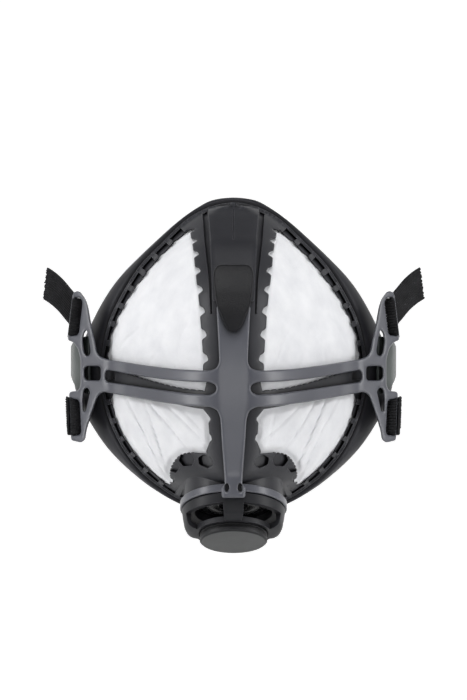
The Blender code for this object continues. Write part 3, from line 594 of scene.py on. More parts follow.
def loose_points(outline, lines, fences, cell, rounding):
    """Points between a plate's fences: rows along each fence where edges are rounded, and a grid."""
    loose = []
    for line in fences if rounding else []:
        for inset in (0.2 * rounding, 0.55 * rounding, rounding):
            loose += grown(line, inset) + grown(line, -inset)
    all_x = [p[0] for p in outline]
    all_z = [p[1] for p in outline]
    row = 0
    z = min(all_z)
    while z < max(all_z):
        shift = 0.5 * cell * (row % 2)
        loose += [(x + shift, z) for x in np.arange(min(all_x), max(all_x), cell)]
        row += 1
        z += 0.87 * cell
    loose = np.array(loose)
    loose = loose[within(lines[0], lines[1:], loose)]
    loose = loose[edge_distance(fences, loose) > POINT_CLEARANCE * (rounding or cell)]
    taken, kept = set(), []
    for x, z in loose:
        key = (round(x / POINT_GRID), round(z / POINT_GRID))
        if key not in taken:
            taken.add(key)
            kept.append((x, z))
    return kept


def flat_triangles(lines, fences, loose):
    """Triangles between the fences and the loose points, inside the first line and outside the others."""
    points, edges = [], []
    for line in fences:
        first = len(points)
        points += line
        edges += [(first + k, first + (k + 1) % len(line)) for k in range(len(line))]
    points += loose
    flat, _, faces, _, _, _ = geometry.delaunay_2d_cdt([Vector(p) for p in points], edges, [], 0, 1e-5)
    flat = np.array([(p.x, p.y) for p in flat])
    faces = np.array([f for f in faces if len(f) == 3])
    faces = faces[within(lines[0], lines[1:], flat[faces].mean(1))]
    used = np.unique(faces)
    number = np.full(len(flat), -1)
    number[used] = np.arange(len(used))
    flat, faces = flat[used], number[faces]
    turn = np.cross(flat[faces[:, 1]] - flat[faces[:, 0]], flat[faces[:, 2]] - flat[faces[:, 0]])
    return flat, np.where((turn > 0)[:, None], faces, faces[:, ::-1])


def open_edges(faces):
    """The edges that only one triangle has, in that triangle's order."""
    pairs = [pair for a, b, c in faces for pair in ((a, b), (b, c), (c, a))]
    times = collections.Counter(tuple(sorted(pair)) for pair in pairs)
    return [pair for pair in pairs if times[tuple(sorted(pair))] == 1]


def plate(name, outline, holes, depth, top, bottom, cell, rounding=0.5, steps=()):
    """A curved plate seen from the front, with its two faces at given distances off a surface.

    Its upper edges are rounded. steps are (outline, height) of raised or sunken areas.
    """
    lines = [resampled(line, EDGE_STEP) for line in [outline, *holes]]
    fences = list(lines)
    for line, _ in steps:
        fences.append(resampled(line, EDGE_STEP))
        fences.append(resampled(grown(clockwise(list(line)), STEP_WALL), EDGE_STEP))
    flat, faces = flat_triangles(lines, fences, loose_points(outline, lines, fences, cell, rounding))
    x, z = flat[:, 0], flat[:, 1]
    height = top(x, z) if callable(top) else np.full(len(x), float(top))
    for line, level in steps:
        stepped = inside_of(grown(clockwise(list(line)), STEP_INSIDE), flat)
        height = np.where(stepped, height + level, height)
    if rounding:
        gap = np.minimum(edge_distance(lines, flat), rounding)
        height = height - rounding + np.sqrt(np.maximum(rounding**2 - (rounding - gap) ** 2, 0.0))
    lower = bottom(x, z) if callable(bottom) else np.full(len(x), float(bottom))
    upper = off_surface(depth, x, z, height)
    under = off_surface(depth, x, z, np.minimum(lower, height - THINNEST))
    count = len(flat)
    shown = [tuple(map(int, f)) for f in faces]
    hidden = [tuple(int(v) + count for v in f[::-1]) for f in faces]
    walls = [tuple(map(int, (q, p, p + count, q + count))) for p, q in open_edges(faces)]
    mesh = bpy.data.meshes.new(name)
    mesh.from_pydata([tuple(p * MM) for p in np.concatenate([upper, under])], [], shown + hidden + walls)
    mesh.update()
    return add_object(name, mesh)


def solidify(obj, thickness, offset):
    wall = obj.modifiers.new("wall", "SOLIDIFY")
    wall.thickness = thickness * MM
    wall.offset = offset


def turned(name, profile, closed=False, cutter=False, place=VALVE_FRAME, steps=ROUND):
    """A body of revolution about an axis; the profile is (radius, distance along it)."""
    bm = bmesh.new()
    verts = [bm.verts.new((r * MM, 0.0, t * MM)) for r, t in profile]
    for a, b in zip(verts, verts[1:]):
        bm.edges.new((a, b))
    if closed:
        bm.edges.new((verts[-1], verts[0]))
    mesh = mesh_of(bm, name)
    obj = add_object(name, mesh, place, cutter=cutter)
    screw = obj.modifiers.new("turn", "SCREW")
    screw.axis = "Z"
    screw.steps = steps
    screw.render_steps = steps
    screw.use_merge_vertices = True
    screw.merge_threshold = 1e-5
    return obj


def sector_cutter(name, inner, outer, start, end, low, high):
    """A slice of a ring round the valve axis; angles in degrees from the front."""
    turns = 16
    angles = [math.radians(start + (end - start) * k / turns) for k in range(turns + 1)]
    rim = [(outer * math.sin(a), outer * math.cos(a)) for a in angles]
    core = [(inner * math.sin(a), inner * math.cos(a)) for a in reversed(angles)]
    place = VALVE_FRAME @ Matrix.Translation((0.0, 0.0, (low + high) / 2 * MM))
    return flat_block(name, rim + core, place, (high - low) / 2)


# Materials.


def new_material(name):
    made = bpy.data.materials.new(name)
    made.use_nodes = True
    nodes, links = made.node_tree.nodes, made.node_tree.links
    return made, nodes, links, nodes["Principled BSDF"]


def noise_node(nodes, links, scale, detail, rough=0.5, stretch=(1.0, 1.0, 1.0)):
    place = nodes.new("ShaderNodeTexCoord")
    mapping = nodes.new("ShaderNodeMapping")
    mapping.inputs["Scale"].default_value = stretch
    texture = nodes.new("ShaderNodeTexNoise")
    texture.inputs["Scale"].default_value = scale
    texture.inputs["Detail"].default_value = detail
    texture.inputs["Roughness"].default_value = rough
    links.new(place.outputs["Object"], mapping.inputs["Vector"])
    links.new(mapping.outputs["Vector"], texture.inputs["Vector"])
    return texture


def ramp(nodes, links, source, low, high, from_low=0.3, from_high=0.7):
    """A value or colour spread between two ends as the source runs from low to high."""
    spread = nodes.new("ShaderNodeMapRange")
    spread.inputs["From Min"].default_value = from_low
    spread.inputs["From Max"].default_value = from_high
    spread.inputs["To Min"].default_value = low
    spread.inputs["To Max"].default_value = high
    links.new(source, spread.inputs["Value"])
    return spread.outputs["Result"]


def mix_colour(nodes, links, factor, first, second):
    mix = nodes.new("ShaderNodeMix")
    mix.data_type = "RGBA"
    mix.inputs["A"].default_value = (*first, 1.0)
    mix.inputs["B"].default_value = (*second, 1.0)
    links.new(factor, mix.inputs["Factor"])
    return mix.outputs["Result"]


def lay_over(nodes, links, shader, mask, colour):
    """Mixes a colour over the shader's base colour where the mask is high."""
    mix = nodes.new("ShaderNodeMix")
    mix.data_type = "RGBA"
    links.new(mask, mix.inputs["Factor"])
    links.new(shader.inputs["Base Color"].links[0].from_socket, mix.inputs["A"])
    mix.inputs["B"].default_value = (*colour, 1.0)
    links.new(mix.outputs["Result"], shader.inputs["Base Color"])


def bump_node(nodes, links, height, distance, strength=1.0, normal=None):
    bump = nodes.new("ShaderNodeBump")
    bump.inputs["Strength"].default_value = strength
    bump.inputs["Distance"].default_value = distance
    links.new(height, bump.inputs["Height"])
    if normal is not None:
        links.new(normal, bump.inputs["Normal"])
    return bump.outputs["Normal"]


# Moulded plastic: painted highlights on rounded edges, painted shade in hollows and a thin coat. Reach is in
# metres.
MOTTLE_SCALE = 60.0
EDGE_SAMPLES = 6
# Painted edge highlight: colour gain, added amount and cap, and the facing range it covers.
HIGHLIGHT_GAIN, HIGHLIGHT_ADDED, HIGHLIGHT_MOST = 4.0, 0.02, 0.4
HIGHLIGHT_FROM, HIGHLIGHT_TO = 0.78, 0.985
# Painted shade in hollows: reach, darkest share and the occlusion range it covers.
CREVICE_REACH, CREVICE_SHADE = 0.0022, 0.2
CREVICE_FROM, CREVICE_TO = 0.45, 0.88
COAT_ROUGHNESS = 0.22


def paint_edge_highlights(nodes, links, shader, edges, light, edge_highlight):
    """Makes the rounded edges paler: a painted highlight along them."""
    facing = nodes.new("ShaderNodeNewGeometry")
    turn = nodes.new("ShaderNodeVectorMath")
    turn.operation = "DOT_PRODUCT"
    links.new(edges.outputs["Normal"], turn.inputs[0])
    links.new(facing.outputs["True Normal"], turn.inputs[1])
    rim = ramp(nodes, links, turn.outputs["Value"], edge_highlight, 0.0, HIGHLIGHT_FROM, HIGHLIGHT_TO)
    highlight_colour = tuple(min(HIGHLIGHT_GAIN * c + HIGHLIGHT_ADDED, HIGHLIGHT_MOST) for c in light)
    lay_over(nodes, links, shader, rim, highlight_colour)


def shade_hollows(nodes, links, shader):
    """Darkens the shader's base colour in narrow hollows, as painted shade."""
    hollow = nodes.new("ShaderNodeAmbientOcclusion")
    hollow.samples = EDGE_SAMPLES
    hollow.inputs["Distance"].default_value = CREVICE_REACH
    depth = ramp(nodes, links, hollow.outputs["AO"], CREVICE_SHADE, 1.0, CREVICE_FROM, CREVICE_TO)
    shaded = nodes.new("ShaderNodeVectorMath")
    shaded.operation = "SCALE"
    links.new(shader.inputs["Base Color"].links[0].from_socket, shaded.inputs[0])
    links.new(depth, shaded.inputs["Scale"])
    links.new(shaded.outputs["Vector"], shader.inputs["Base Color"])


def moulded(
    name, dark, light, rough, grain=900.0, grain_depth=0.00003, edge=0.00035, coat=0.0, specular=0.5, edge_highlight=0.5
):
    """Moulded plastic or rubber: a mottle, a fine grain, uneven sheen, painted highlights on rounded edges
    and painted shade in hollows.
    """
    made, nodes, links, shader = new_material(name)
    broad = noise_node(nodes, links, MOTTLE_SCALE, 4.0)
    fine = noise_node(nodes, links, grain, 3.0)
    shade = ramp(nodes, links, broad.outputs["Fac"], 0.0, 1.0)
    links.new(mix_colour(nodes, links, shade, dark, light), shader.inputs["Base Color"])
    sheen = ramp(nodes, links, broad.outputs["Fac"], rough - 0.05, rough + 0.06)
    links.new(sheen, shader.inputs["Roughness"])
    edges = nodes.new("ShaderNodeBevel")
    edges.samples = EDGE_SAMPLES
    edges.inputs["Radius"].default_value = edge
    grained = bump_node(nodes, links, fine.outputs["Fac"], grain_depth, normal=edges.outputs["Normal"])
    links.new(grained, shader.inputs["Normal"])
    # Painted highlight along the rounded edges.
    if edge_highlight:
        paint_edge_highlights(nodes, links, shader, edges, light, edge_highlight)
    # Painted shade in narrow hollows.
    shade_hollows(nodes, links, shader)
    shader.inputs["Coat Weight"].default_value = coat
    shader.inputs["Coat Roughness"].default_value = COAT_ROUGHNESS
    shader.inputs["Specular IOR Level"].default_value = specular
    return made


CAP_FACE_DEPTH, CAP_FACE_EDGE = 0.12, 0.04


def capped(name, dark, pale, rough):
    """The valve cap's plastic: dark round its rim and paler on its flat face."""
    made = moulded(name, dark, tuple(1.2 * c for c in dark), rough, specular=0.35)
    nodes, links = made.node_tree.nodes, made.node_tree.links
    shader = nodes["Principled BSDF"]
    place = nodes.new("ShaderNodeTexCoord")
    along = nodes.new("ShaderNodeVectorMath")
    along.operation = "DOT_PRODUCT"
    axis = VALVE_FRAME.to_3x3() @ Vector((0.0, 0.0, 1.0))
    along.inputs[1].default_value = axis
    links.new(place.outputs["Object"], along.inputs[0])
    face_at = axis.dot(VALVE_FRAME.translation) + (CAP_PROFILE[0][1] - CAP_FACE_DEPTH) * MM
    mask = ramp(nodes, links, along.outputs["Value"], 0.0, 1.0, face_at, face_at + CAP_FACE_EDGE * MM)
    lay_over(nodes, links, shader, mask, pale)
    return made


def nonwoven(name, colour, shade_colour):
    """White nonwoven filter cloth: matted fibres, a faint mottle and no gloss."""
    made, nodes, links, shader = new_material(name)
    mottle = noise_node(nodes, links, 130.0, 5.0)
    fibres = noise_node(nodes, links, 700.0, 6.0, 0.7, (1.0, 1.0, 3.5))
    cross = noise_node(nodes, links, 600.0, 6.0, 0.7, (3.5, 1.0, 1.0))
    added = nodes.new("ShaderNodeMath")
    added.operation = "ADD"
    links.new(fibres.outputs["Fac"], added.inputs[0])
    links.new(cross.outputs["Fac"], added.inputs[1])
    shade = ramp(nodes, links, mottle.outputs["Fac"], 0.0, 1.0, 0.25, 0.75)
    links.new(mix_colour(nodes, links, shade, shade_colour, colour), shader.inputs["Base Color"])
    soft = bump_node(nodes, links, mottle.outputs["Fac"], 0.0002, 0.5)
    links.new(bump_node(nodes, links, added.outputs["Value"], 0.0002, 0.7, soft), shader.inputs["Normal"])
    shader.inputs["Roughness"].default_value = 0.95
    shader.inputs["Specular IOR Level"].default_value = 0.15
    shader.inputs["Sheen Weight"].default_value = 0.15
    shader.inputs["Sheen Roughness"].default_value = 0.6
    return made


def webbing(name, dark, light):
    """Black elastic webbing: a fine knit and a few pale fibres, on ribs that the mesh holds."""
    made, nodes, links, shader = new_material(name)
    knit = noise_node(nodes, links, 1500.0, 2.0, 0.5, (1.0, 1.0, 0.4))
    broad = noise_node(nodes, links, 220.0, 4.0)
    specks = noise_node(nodes, links, 2300.0, 1.0)
    shade = ramp(nodes, links, broad.outputs["Fac"], 0.0, 1.0)
    links.new(mix_colour(nodes, links, shade, dark, light), shader.inputs["Base Color"])
    flecks = ramp(nodes, links, specks.outputs["Fac"], 0.0, 0.5, 0.72, 0.80)
    lay_over(nodes, links, shader, flecks, (0.25, 0.25, 0.27))
    links.new(bump_node(nodes, links, knit.outputs["Fac"], 0.0003, 0.9), shader.inputs["Normal"])
    shader.inputs["Roughness"].default_value = 0.75
    shader.inputs["Specular IOR Level"].default_value = 0.25
    return made


# In the moulded looks, the last keyword sets the strength of the painted highlight on rounded edges.
FRAME_LOOK = moulded(
    "frame_look", (0.023, 0.0235, 0.028), (0.030, 0.0305, 0.036), 0.42, coat=0.1, specular=0.28, edge_highlight=0.6
)
SEAL_LOOK = moulded(
    "seal_look", (0.018, 0.018, 0.022), (0.026, 0.026, 0.031), 0.46, grain=500.0, specular=0.2, edge_highlight=0.3
)
YOKE_LOOK = moulded(
    "yoke_look", (0.074, 0.077, 0.094), (0.088, 0.091, 0.110), 0.38,
    edge=0.0006, coat=0.45, specular=0.45, edge_highlight=0.65,
)
WING_LOOK = moulded(
    "wing_look", (0.055, 0.064, 0.062), (0.10, 0.112, 0.108), 0.2, grain=300.0, coat=0.3, edge_highlight=0.0
)
PAD_LOOK = moulded(
    "pad_look", (0.006, 0.006, 0.0075), (0.010, 0.010, 0.012), 0.40,
    grain=2600.0, grain_depth=0.0001, edge=0.0005, specular=0.2, edge_highlight=0.5,
)
VALVE_LOOK = moulded(
    "valve_look", (0.015, 0.0155, 0.018), (0.021, 0.0215, 0.025), 0.42, specular=0.26, edge_highlight=0.6
)
CAP_LOOK = capped("cap_look", (0.011, 0.0112, 0.013), (0.075, 0.078, 0.078), 0.45)
FLAP_LOOK = moulded("flap_look", (0.005, 0.005, 0.006), (0.012, 0.012, 0.014), 0.22, edge=0.0005, edge_highlight=1.0)
FABRIC_LOOK = nonwoven("fabric_look", (0.885, 0.89, 0.91), (0.77, 0.777, 0.805))
MEDIA_LOOK = nonwoven("media_look", (0.86, 0.86, 0.87), (0.80, 0.80, 0.81))
ELASTIC_LOOK = webbing("elastic_look", (0.005, 0.005, 0.006), (0.016, 0.016, 0.018))


def dress(obj, look, slot, *nodes, body="mask"):
    """Gives an object its material, and says which body it rides and what it replaces. Its slot is not used.
    """
    obj.data.materials.clear()
    obj.data.materials.append(look)
    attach(obj, body)
    if nodes:
        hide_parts(*nodes)


# Pieces.


def window_outlines():
    """(level, toothed opening, smooth opening) of the right-hand windows."""
    upper = (UPPER_INNER, UPPER_LOWER, UPPER_OUTER)
    lower = (LOWER_UPPER, LOWER_INNER, LOWER_LOBE, LOWER_OUTER)
    made = []
    for level, edges in (("upper", upper), ("lower", lower)):
        smooth = [point for edge in edges for point in smooth_line(edge, OUTLINE_STEP)]
        side = 1 if area(smooth) > 0 else -1
        cut = []
        for edge in edges:
            teeth = EDGE_TEETH[edge]
            cut += toothed_line(edge, side, *teeth) if teeth else smooth_line(edge, OUTLINE_STEP)
        made.append((level, clockwise(cut), clockwise(smooth)))
    return made


def channel_areas():
    """Sunken stretches between the rim's lip and the cloth, with a bridge between one and the next."""
    rim = smooth_line(RIM_RIGHT, 0.5)
    spots = [Vector((x, -float(shell_depth(x * 0.97, z)), z)) for x, z in rim]
    lengths = [0.0]
    for a, b in zip(spots, spots[1:]):
        lengths.append(lengths[-1] + (b - a).length)

    def spot(distance):
        return tuple(float(np.interp(distance, lengths, [p[k] for p in rim])) for k in (0, 1))

    def at(distance, inset):
        x, z = spot(distance)
        ahead_x, ahead_z = spot(distance + 1)
        along = Vector((ahead_x - x, ahead_z - z)).normalized()
        return x + along.y * inset, z - along.x * inset

    made = []
    distance = CHANNEL_START
    while distance < lengths[-1] - CHANNEL_END:
        end = distance + CHANNEL_PITCH - CHANNEL_BRIDGE
        steps = [(end - distance) * k / CHANNEL_PARTS for k in range(CHANNEL_PARTS + 1)]
        outer = [at(distance + step, CHANNEL_OUTER) for step in steps]
        made.append(outer + [at(end - step, CHANNEL_INNER) for step in steps])
        distance += CHANNEL_PITCH
    return made


def pocket(x, z, width, height, turn):
    """A small rounded hexagonal recess."""
    corners = ((-0.5, 0.0), (-0.28, 0.5), (0.28, 0.5), (0.5, 0.0), (0.28, -0.5), (-0.28, -0.5))
    c, s = math.cos(math.radians(turn)), math.sin(math.radians(turn))
    points = [(x + u * width * c - v * height * s, z + u * width * s + v * height * c) for u, v in corners]
    return rounded(points, 0.4, 2)


def frame_steps():
    """The raised and sunken areas of the frame, as (outline, height)."""
    panel = list(NOSE_PANEL) + mirrored(NOSE_PANEL[::-1], -1)
    steps = [(rounded(panel, 0.8), NOSE_PANEL_HEIGHT), (list(NOSE_SEAM), NOSE_SEAM_DEPTH)]
    for side in (-1, 1):
        steps.append((mirrored(NOSE_GROOVE, side), NOSE_GROOVE_DEPTH))
        steps += [(mirrored(channel, side), CHANNEL_DEPTH) for channel in channel_areas()]
        steps += [(mirrored(pocket(*place), side), POCKET_DEPTH) for place in POCKETS]
    return steps


def make_mask_frame():
    outline = grown(clockwise(smooth_line(both_sides(RIM_RIGHT), OUTLINE_STEP, closed=True)), FLANGE)
    holes = [clockwise(mirrored(cut, side)) for _, cut, _ in window_outlines() for side in (-1, 1)]
    holes.append(clockwise(ellipse(0.0, NECK_HOLE_Z, NECK_HOLE_R, NECK_HOLE_FLATNESS * NECK_HOLE_R, 24)))
    shell = plate(
        "mask_frame_look", outline, holes, shell_depth, 0.0, -LIP, FRAME_CELL, FRAME_ROUNDING, frame_steps()
    )
    neck_profile = (
        (NECK_R, NECK_OUTER), (NECK_R, NECK_INNER), (BORE_R, NECK_INNER), (BORE_R, NECK_OUTER),
    )
    neck = settle(turned("neck", neck_profile, True))
    dress(joined(shell, neck), FRAME_LOOK, "frame_plastic", "mask_frame")


def joined(first, *others):
    """Several meshes in one object."""
    bm = bmesh.new()
    bm.from_mesh(first.data)
    for other in others:
        bm.from_mesh(other.data)
        bpy.data.objects.remove(other)
    bm.to_mesh(first.data)
    bm.free()
    finish_mesh(first)
    return first


def finish_mesh(obj, smooth_angle=SHARP_ANGLE):
    """Shades a mesh smooth, with sharp edges past an angle."""
    obj.data.shade_smooth()
    obj.data.set_sharp_from_angle(angle=math.radians(smooth_angle))


def fold_height(folds, x, z):
    """Soft folds of the cloth: each has a narrow crease with a bulge beside it."""
    total = np.zeros_like(x)
    for (ax, az), (bx, bz), height, width in folds:
        run_x, run_z = bx - ax, bz - az
        size = math.hypot(run_x, run_z)
        t = ((x - ax) * run_x + (z - az) * run_z) / size**2
        wander = FOLD_WANDER * np.sin(FOLD_WAVES * t + ax)
        away = ((x - ax) * run_z - (z - az) * run_x) / size + wander
        fade = np.sin(np.pi * np.clip((t + FOLD_FADE) / (1 + 2 * FOLD_FADE), 0.0, 1.0)) ** 0.6
        crease = CREASE_DEPTH * np.exp(-((away / CREASE_WIDTH) ** 2))
        beside = np.exp(-(((away - 1.0 * width) / width) ** 2))
        beyond = np.exp(-(((away + 1.2 * width) / width) ** 2))
        total += FOLD_GAIN * height * fade * (crease + (beside + 0.5 * beyond))
    return total


def cloth_swell(edge, folds, side):
    """How far the cloth's face stands off the shell's, as a function of x and z."""

    def swell(x, z):
        inside = np.clip(edge_distance([edge], np.stack([x, z], 1)) / CLOTH_RAMP, 0.0, 1.0)
        inside = inside * inside * (3 - 2 * inside)
        drift = [noise.noise(Vector((a * 0.11 + 9 * side, b * 0.11, 0.0))) for a, b in zip(x, z)]
        ripple = [noise.noise(Vector((a * 0.5, b * 0.5, 4.0 * side))) for a, b in zip(x, z)]
        uneven = CLOTH_RISE + CLOTH_DRIFT * np.array(drift) + CLOTH_RIPPLE * np.array(ripple)
        return -(LIP + CLOTH_SINK) + inside * (uneven + fold_height(folds, np.abs(x), z))

    return swell


def make_filters():
    behind = -(SHELL_THICKNESS + GAP + COVER_THICKNESS + GAP)
    for level, _, smooth in window_outlines():
        for side, word in ((-1, "left"), (1, "right")):
            outline = clockwise(mirrored(grown(smooth, FILTER_MARGIN), side))
            folds = (UPPER_FOLDS if level == "upper" else LOWER_FOLDS)[word]
            swell = cloth_swell(resampled(clockwise(mirrored(smooth, side)), 1.0), folds, side)
            name = f"filter_cover_{level}_{word}"
            cloth = plate(name + "_look", outline, [], core_depth, swell, CLOTH_BACK, FABRIC_CELL, 0.0)
            finish_mesh(cloth, SOFT_ANGLE)
            dress(cloth, FABRIC_LOOK, "filter_fabric", name)
            name = f"filter_media_{level}_{word}"
            back = behind - MEDIA_THICKNESS
            media = plate(name + "_look", outline, [], core_depth, behind, back, MEDIA_CELL, 0.0)
            finish_mesh(media, SOFT_ANGLE)
            dress(media, MEDIA_LOOK, "media_fabric", name)


RIM_LOOP = smooth_line(both_sides(RIM_RIGHT), OUTLINE_STEP, closed=True)
FLARE_LOOP = smooth_line(both_sides(FLARE_RIGHT), OUTLINE_STEP, closed=True)


def cast(outline, angle):
    """Where a ray from the centre at this angle meets a closed outline."""
    direction = (math.sin(angle), math.cos(angle))
    for a, b in zip(outline, outline[1:] + outline[:1]):
        side_a = a[0] * direction[1] - a[1] * direction[0]
        side_b = b[0] * direction[1] - b[1] * direction[0]
        if side_a * side_b > 0 or side_a == side_b:
            continue
        t = side_a / (side_a - side_b)
        x, z = a[0] + (b[0] - a[0]) * t, a[1] + (b[1] - a[1]) * t
        if x * direction[0] + z * direction[1] > 0:
            return x, z
    return 0.0, 0.0


def make_face_seal():
    """The flexible flare: a band from under the frame's flange out to the cheek and in again to its lip."""
    bm = bmesh.new()
    across = 8
    bmesh.ops.create_grid(bm, x_segments=SEAL_AROUND, y_segments=across, size=1.0)
    stations = {}
    for vert in bm.verts:
        angle = math.pi * vert.co.x
        key = round(angle, 5)
        if key not in stations:
            stations[key] = (cast(RIM_LOOP, angle), cast(FLARE_LOOP, angle))
        rim, flare = stations[key]
        rim_at = float(rim_depth(rim[1])) - SHELL_THICKNESS - GAP - SEAL_THICKNESS / 2
        flare_at = float(flare_depth(flare[1]))
        # Share of the way from the rim to the flare, distance out, and how far forward.
        sections = (
            (0.0, 0.2, rim_at),
            (0.0, 1.3, rim_at + 0.1),
            (0.0, 2.0, rim_at + 0.3),
            (0.3, 1.2, rim_at + 0.14 * (flare_at - rim_at)),
            (0.75, 0.5, rim_at + 0.56 * (flare_at - rim_at)),
            (1.0, -0.4, flare_at),
            (1.0, -0.12 * LIP_TURN_IN, flare_at - 0.5 * LIP_DROP),
            (1.0, -0.45 * LIP_TURN_IN, flare_at - 0.9 * LIP_DROP),
            (1.0, -LIP_TURN_IN, flare_at - LIP_DROP),
        )
        share, out, forward = sections[round((vert.co.y + 1) / 2 * across)]
        x = rim[0] + (flare[0] - rim[0]) * share + out * math.sin(angle)
        z = rim[1] + (flare[1] - rim[1]) * share + out * math.cos(angle)
        vert.co = Vector((x, -forward, z)) * MM
    bmesh.ops.remove_doubles(bm, verts=bm.verts, dist=SAME_POINT)
    mesh = mesh_of(bm, "face_seal_look")
    seal = add_object("face_seal_look", mesh)
    solidify(seal, SEAL_THICKNESS, 0.0)
    smooth = seal.modifiers.new("smooth", "SUBSURF")
    smooth.levels = 1
    smooth.render_levels = 1
    settle(seal, 50.0)
    dress(seal, SEAL_LOOK, "seal_rubber", "face_seal")


def bar_ends(bar, side):
    return [Vector((side * x, -float(yoke_depth(x, z)) - YOKE_LIFT - YOKE_THICKNESS / 2, z)) for x, z in bar]


def rod(name, start, end, radius):
    bm = bmesh.new()
    length, wide = (end - start).length * MM, radius * MM
    bmesh.ops.create_cone(bm, cap_ends=True, segments=28, radius1=wide, radius2=wide, depth=length)
    mesh = mesh_of(bm, name)
    turn = (end - start).to_track_quat("Z", "Y").to_matrix().to_4x4()
    return settle(add_object(name, mesh, Matrix.Translation((start + end) / 2 * MM) @ turn))


def make_neck_ring():
    """The yoke's ring round the valve neck, open where the spine's foot covers it."""
    bore, low, high = NECK_R + GAP, RING_INNER, RING_OUTER
    profile = (
        (RING_R, high - RING_BEVEL), (RING_R, low + RING_BEVEL), (RING_R - RING_BEVEL, low),
        (bore, low), (bore, high), (RING_R - RING_BEVEL, high),
    )
    ring = turned("neck_ring", profile, True)
    reach = (bore - 0.2, RING_R + CUT_SPARE, -FOOT_GAP, FOOT_GAP, low - CUT_SPARE, high + CUT_SPARE)
    boolean(ring, sector_cutter("foot_gap", *reach), "DIFFERENCE")
    return settle(ring)


def make_yoke():
    outline = clockwise(rounded(both_sides(YOKE_RIGHT), YOKE_CORNER))
    cuts = ((SLIT, SLIT_CORNER),) + tuple(
        (hole, HOLE_CORNER) for hole in (BRACKET_WINDOW, UPPER_TEARDROP, LOWER_TEARDROP)
    )
    holes = []
    for side in (-1, 1):
        holes += [clockwise(rounded(mirrored(hole, side), corner)) for hole, corner in cuts]
        holes.append(clockwise(ellipse(side * KEYHOLE_X, KEYHOLE_Z, KEYHOLE_WIDE, KEYHOLE_HIGH, 10)))
    top = YOKE_LIFT + YOKE_THICKNESS
    yoke = plate("harness_yoke_look", outline, holes, yoke_depth, top, YOKE_LIFT, YOKE_CELL, YOKE_ROUNDING)
    rods = [rod("bar", *bar_ends(bar, side), BAR_R) for side in (-1, 1) for bar in (UPPER_BAR, LOWER_BAR)]
    yoke = joined(yoke, make_neck_ring(), *rods)
    dress(yoke, YOKE_LOOK, "yoke_plastic", "harness_yoke")


def make_wings():
    forward_at = interpolate(WING_SECTION)
    x0, x1 = WING_SECTION[0][0], WING_SECTION[-1][0]
    for side, word in ((-1, "left"), (1, "right")):
        bm = bmesh.new()
        bmesh.ops.create_grid(bm, x_segments=24, y_segments=24, size=1.0)
        middle = (WING_TOP + WING_BOTTOM) / 2
        half = (WING_TOP - WING_BOTTOM) / 2
        for vert in bm.verts:
            x = x0 + (x1 - x0) * (vert.co.x * side + 1) / 2
            t = (x - x0) / (x1 - x0)
            upper = vert.co.y > 0
            taper = 1 - WING_TOP_TAPER * t**4 if upper else math.sqrt(1 - (WING_BOTTOM_REACH * t) ** 2)
            vert.co = Vector((side * x, -float(forward_at(x)), middle + half * taper * vert.co.y)) * MM
        mesh = mesh_of(bm, f"cheek_wing_{word}_look")
        wing = add_object(mesh.name, mesh)
        solidify(wing, WING_THICKNESS, 0.0)
        settle(wing)
        dress(wing, WING_LOOK, "wing_plastic", f"cheek_wing_{word}")


def make_grip_pad():
    outline = clockwise(smooth_line(both_sides(PAD_RIGHT), 0.8, closed=True))
    top = PAD_UNDERSIDE + PAD_THICKNESS
    pad = plate("grip_pad_look", outline, [], shell_depth, top, PAD_UNDERSIDE, PAD_CELL, PAD_ROUNDING)
    low = NOSE_PANEL_HEIGHT + GAP
    post = plate("pad_post", clockwise(list(PAD_POST)), [], shell_depth, PAD_UNDERSIDE + 1.0, low, 1.5, 0.0)
    dress(joined(pad, post), PAD_LOOK, "pad_plastic", "grip_pad")


def bar_axes(start, end, side):
    """Up along a strap bar, out sideways and back towards the face, at right angles."""
    up = (start - end).normalized()
    out = Vector((side, 0.0, 0.0))
    out = (out - up * out.dot(up)).normalized()
    back = Vector((0.0, 1.0, 0.0))
    back = (back - up * back.dot(up) - out * back.dot(out)).normalized()
    return up, out, back


def strap_path(tail, wrap):
    """The strap's middle line as (out, back, up), and the number of its points in the wrap."""
    path = []
    for k in range(WRAP_TURNS + 1):
        angle = math.radians(WRAP_START + wrap * k / WRAP_TURNS)
        reach = LOOP_R + (SLOT_REACH if math.cos(angle) > 0 else 0.0)
        path.append((reach * -math.cos(angle), LOOP_R * math.sin(angle), 0.0))
    turned_end = Vector(path[-1][:2])
    path += [(x, -forward, rise) for x, forward, rise in tail]
    path = smooth_line(path, STRAP_STEP)
    wrapped = min(range(len(path)), key=lambda k: (Vector(path[k][:2]) - turned_end).length)
    return path, wrapped


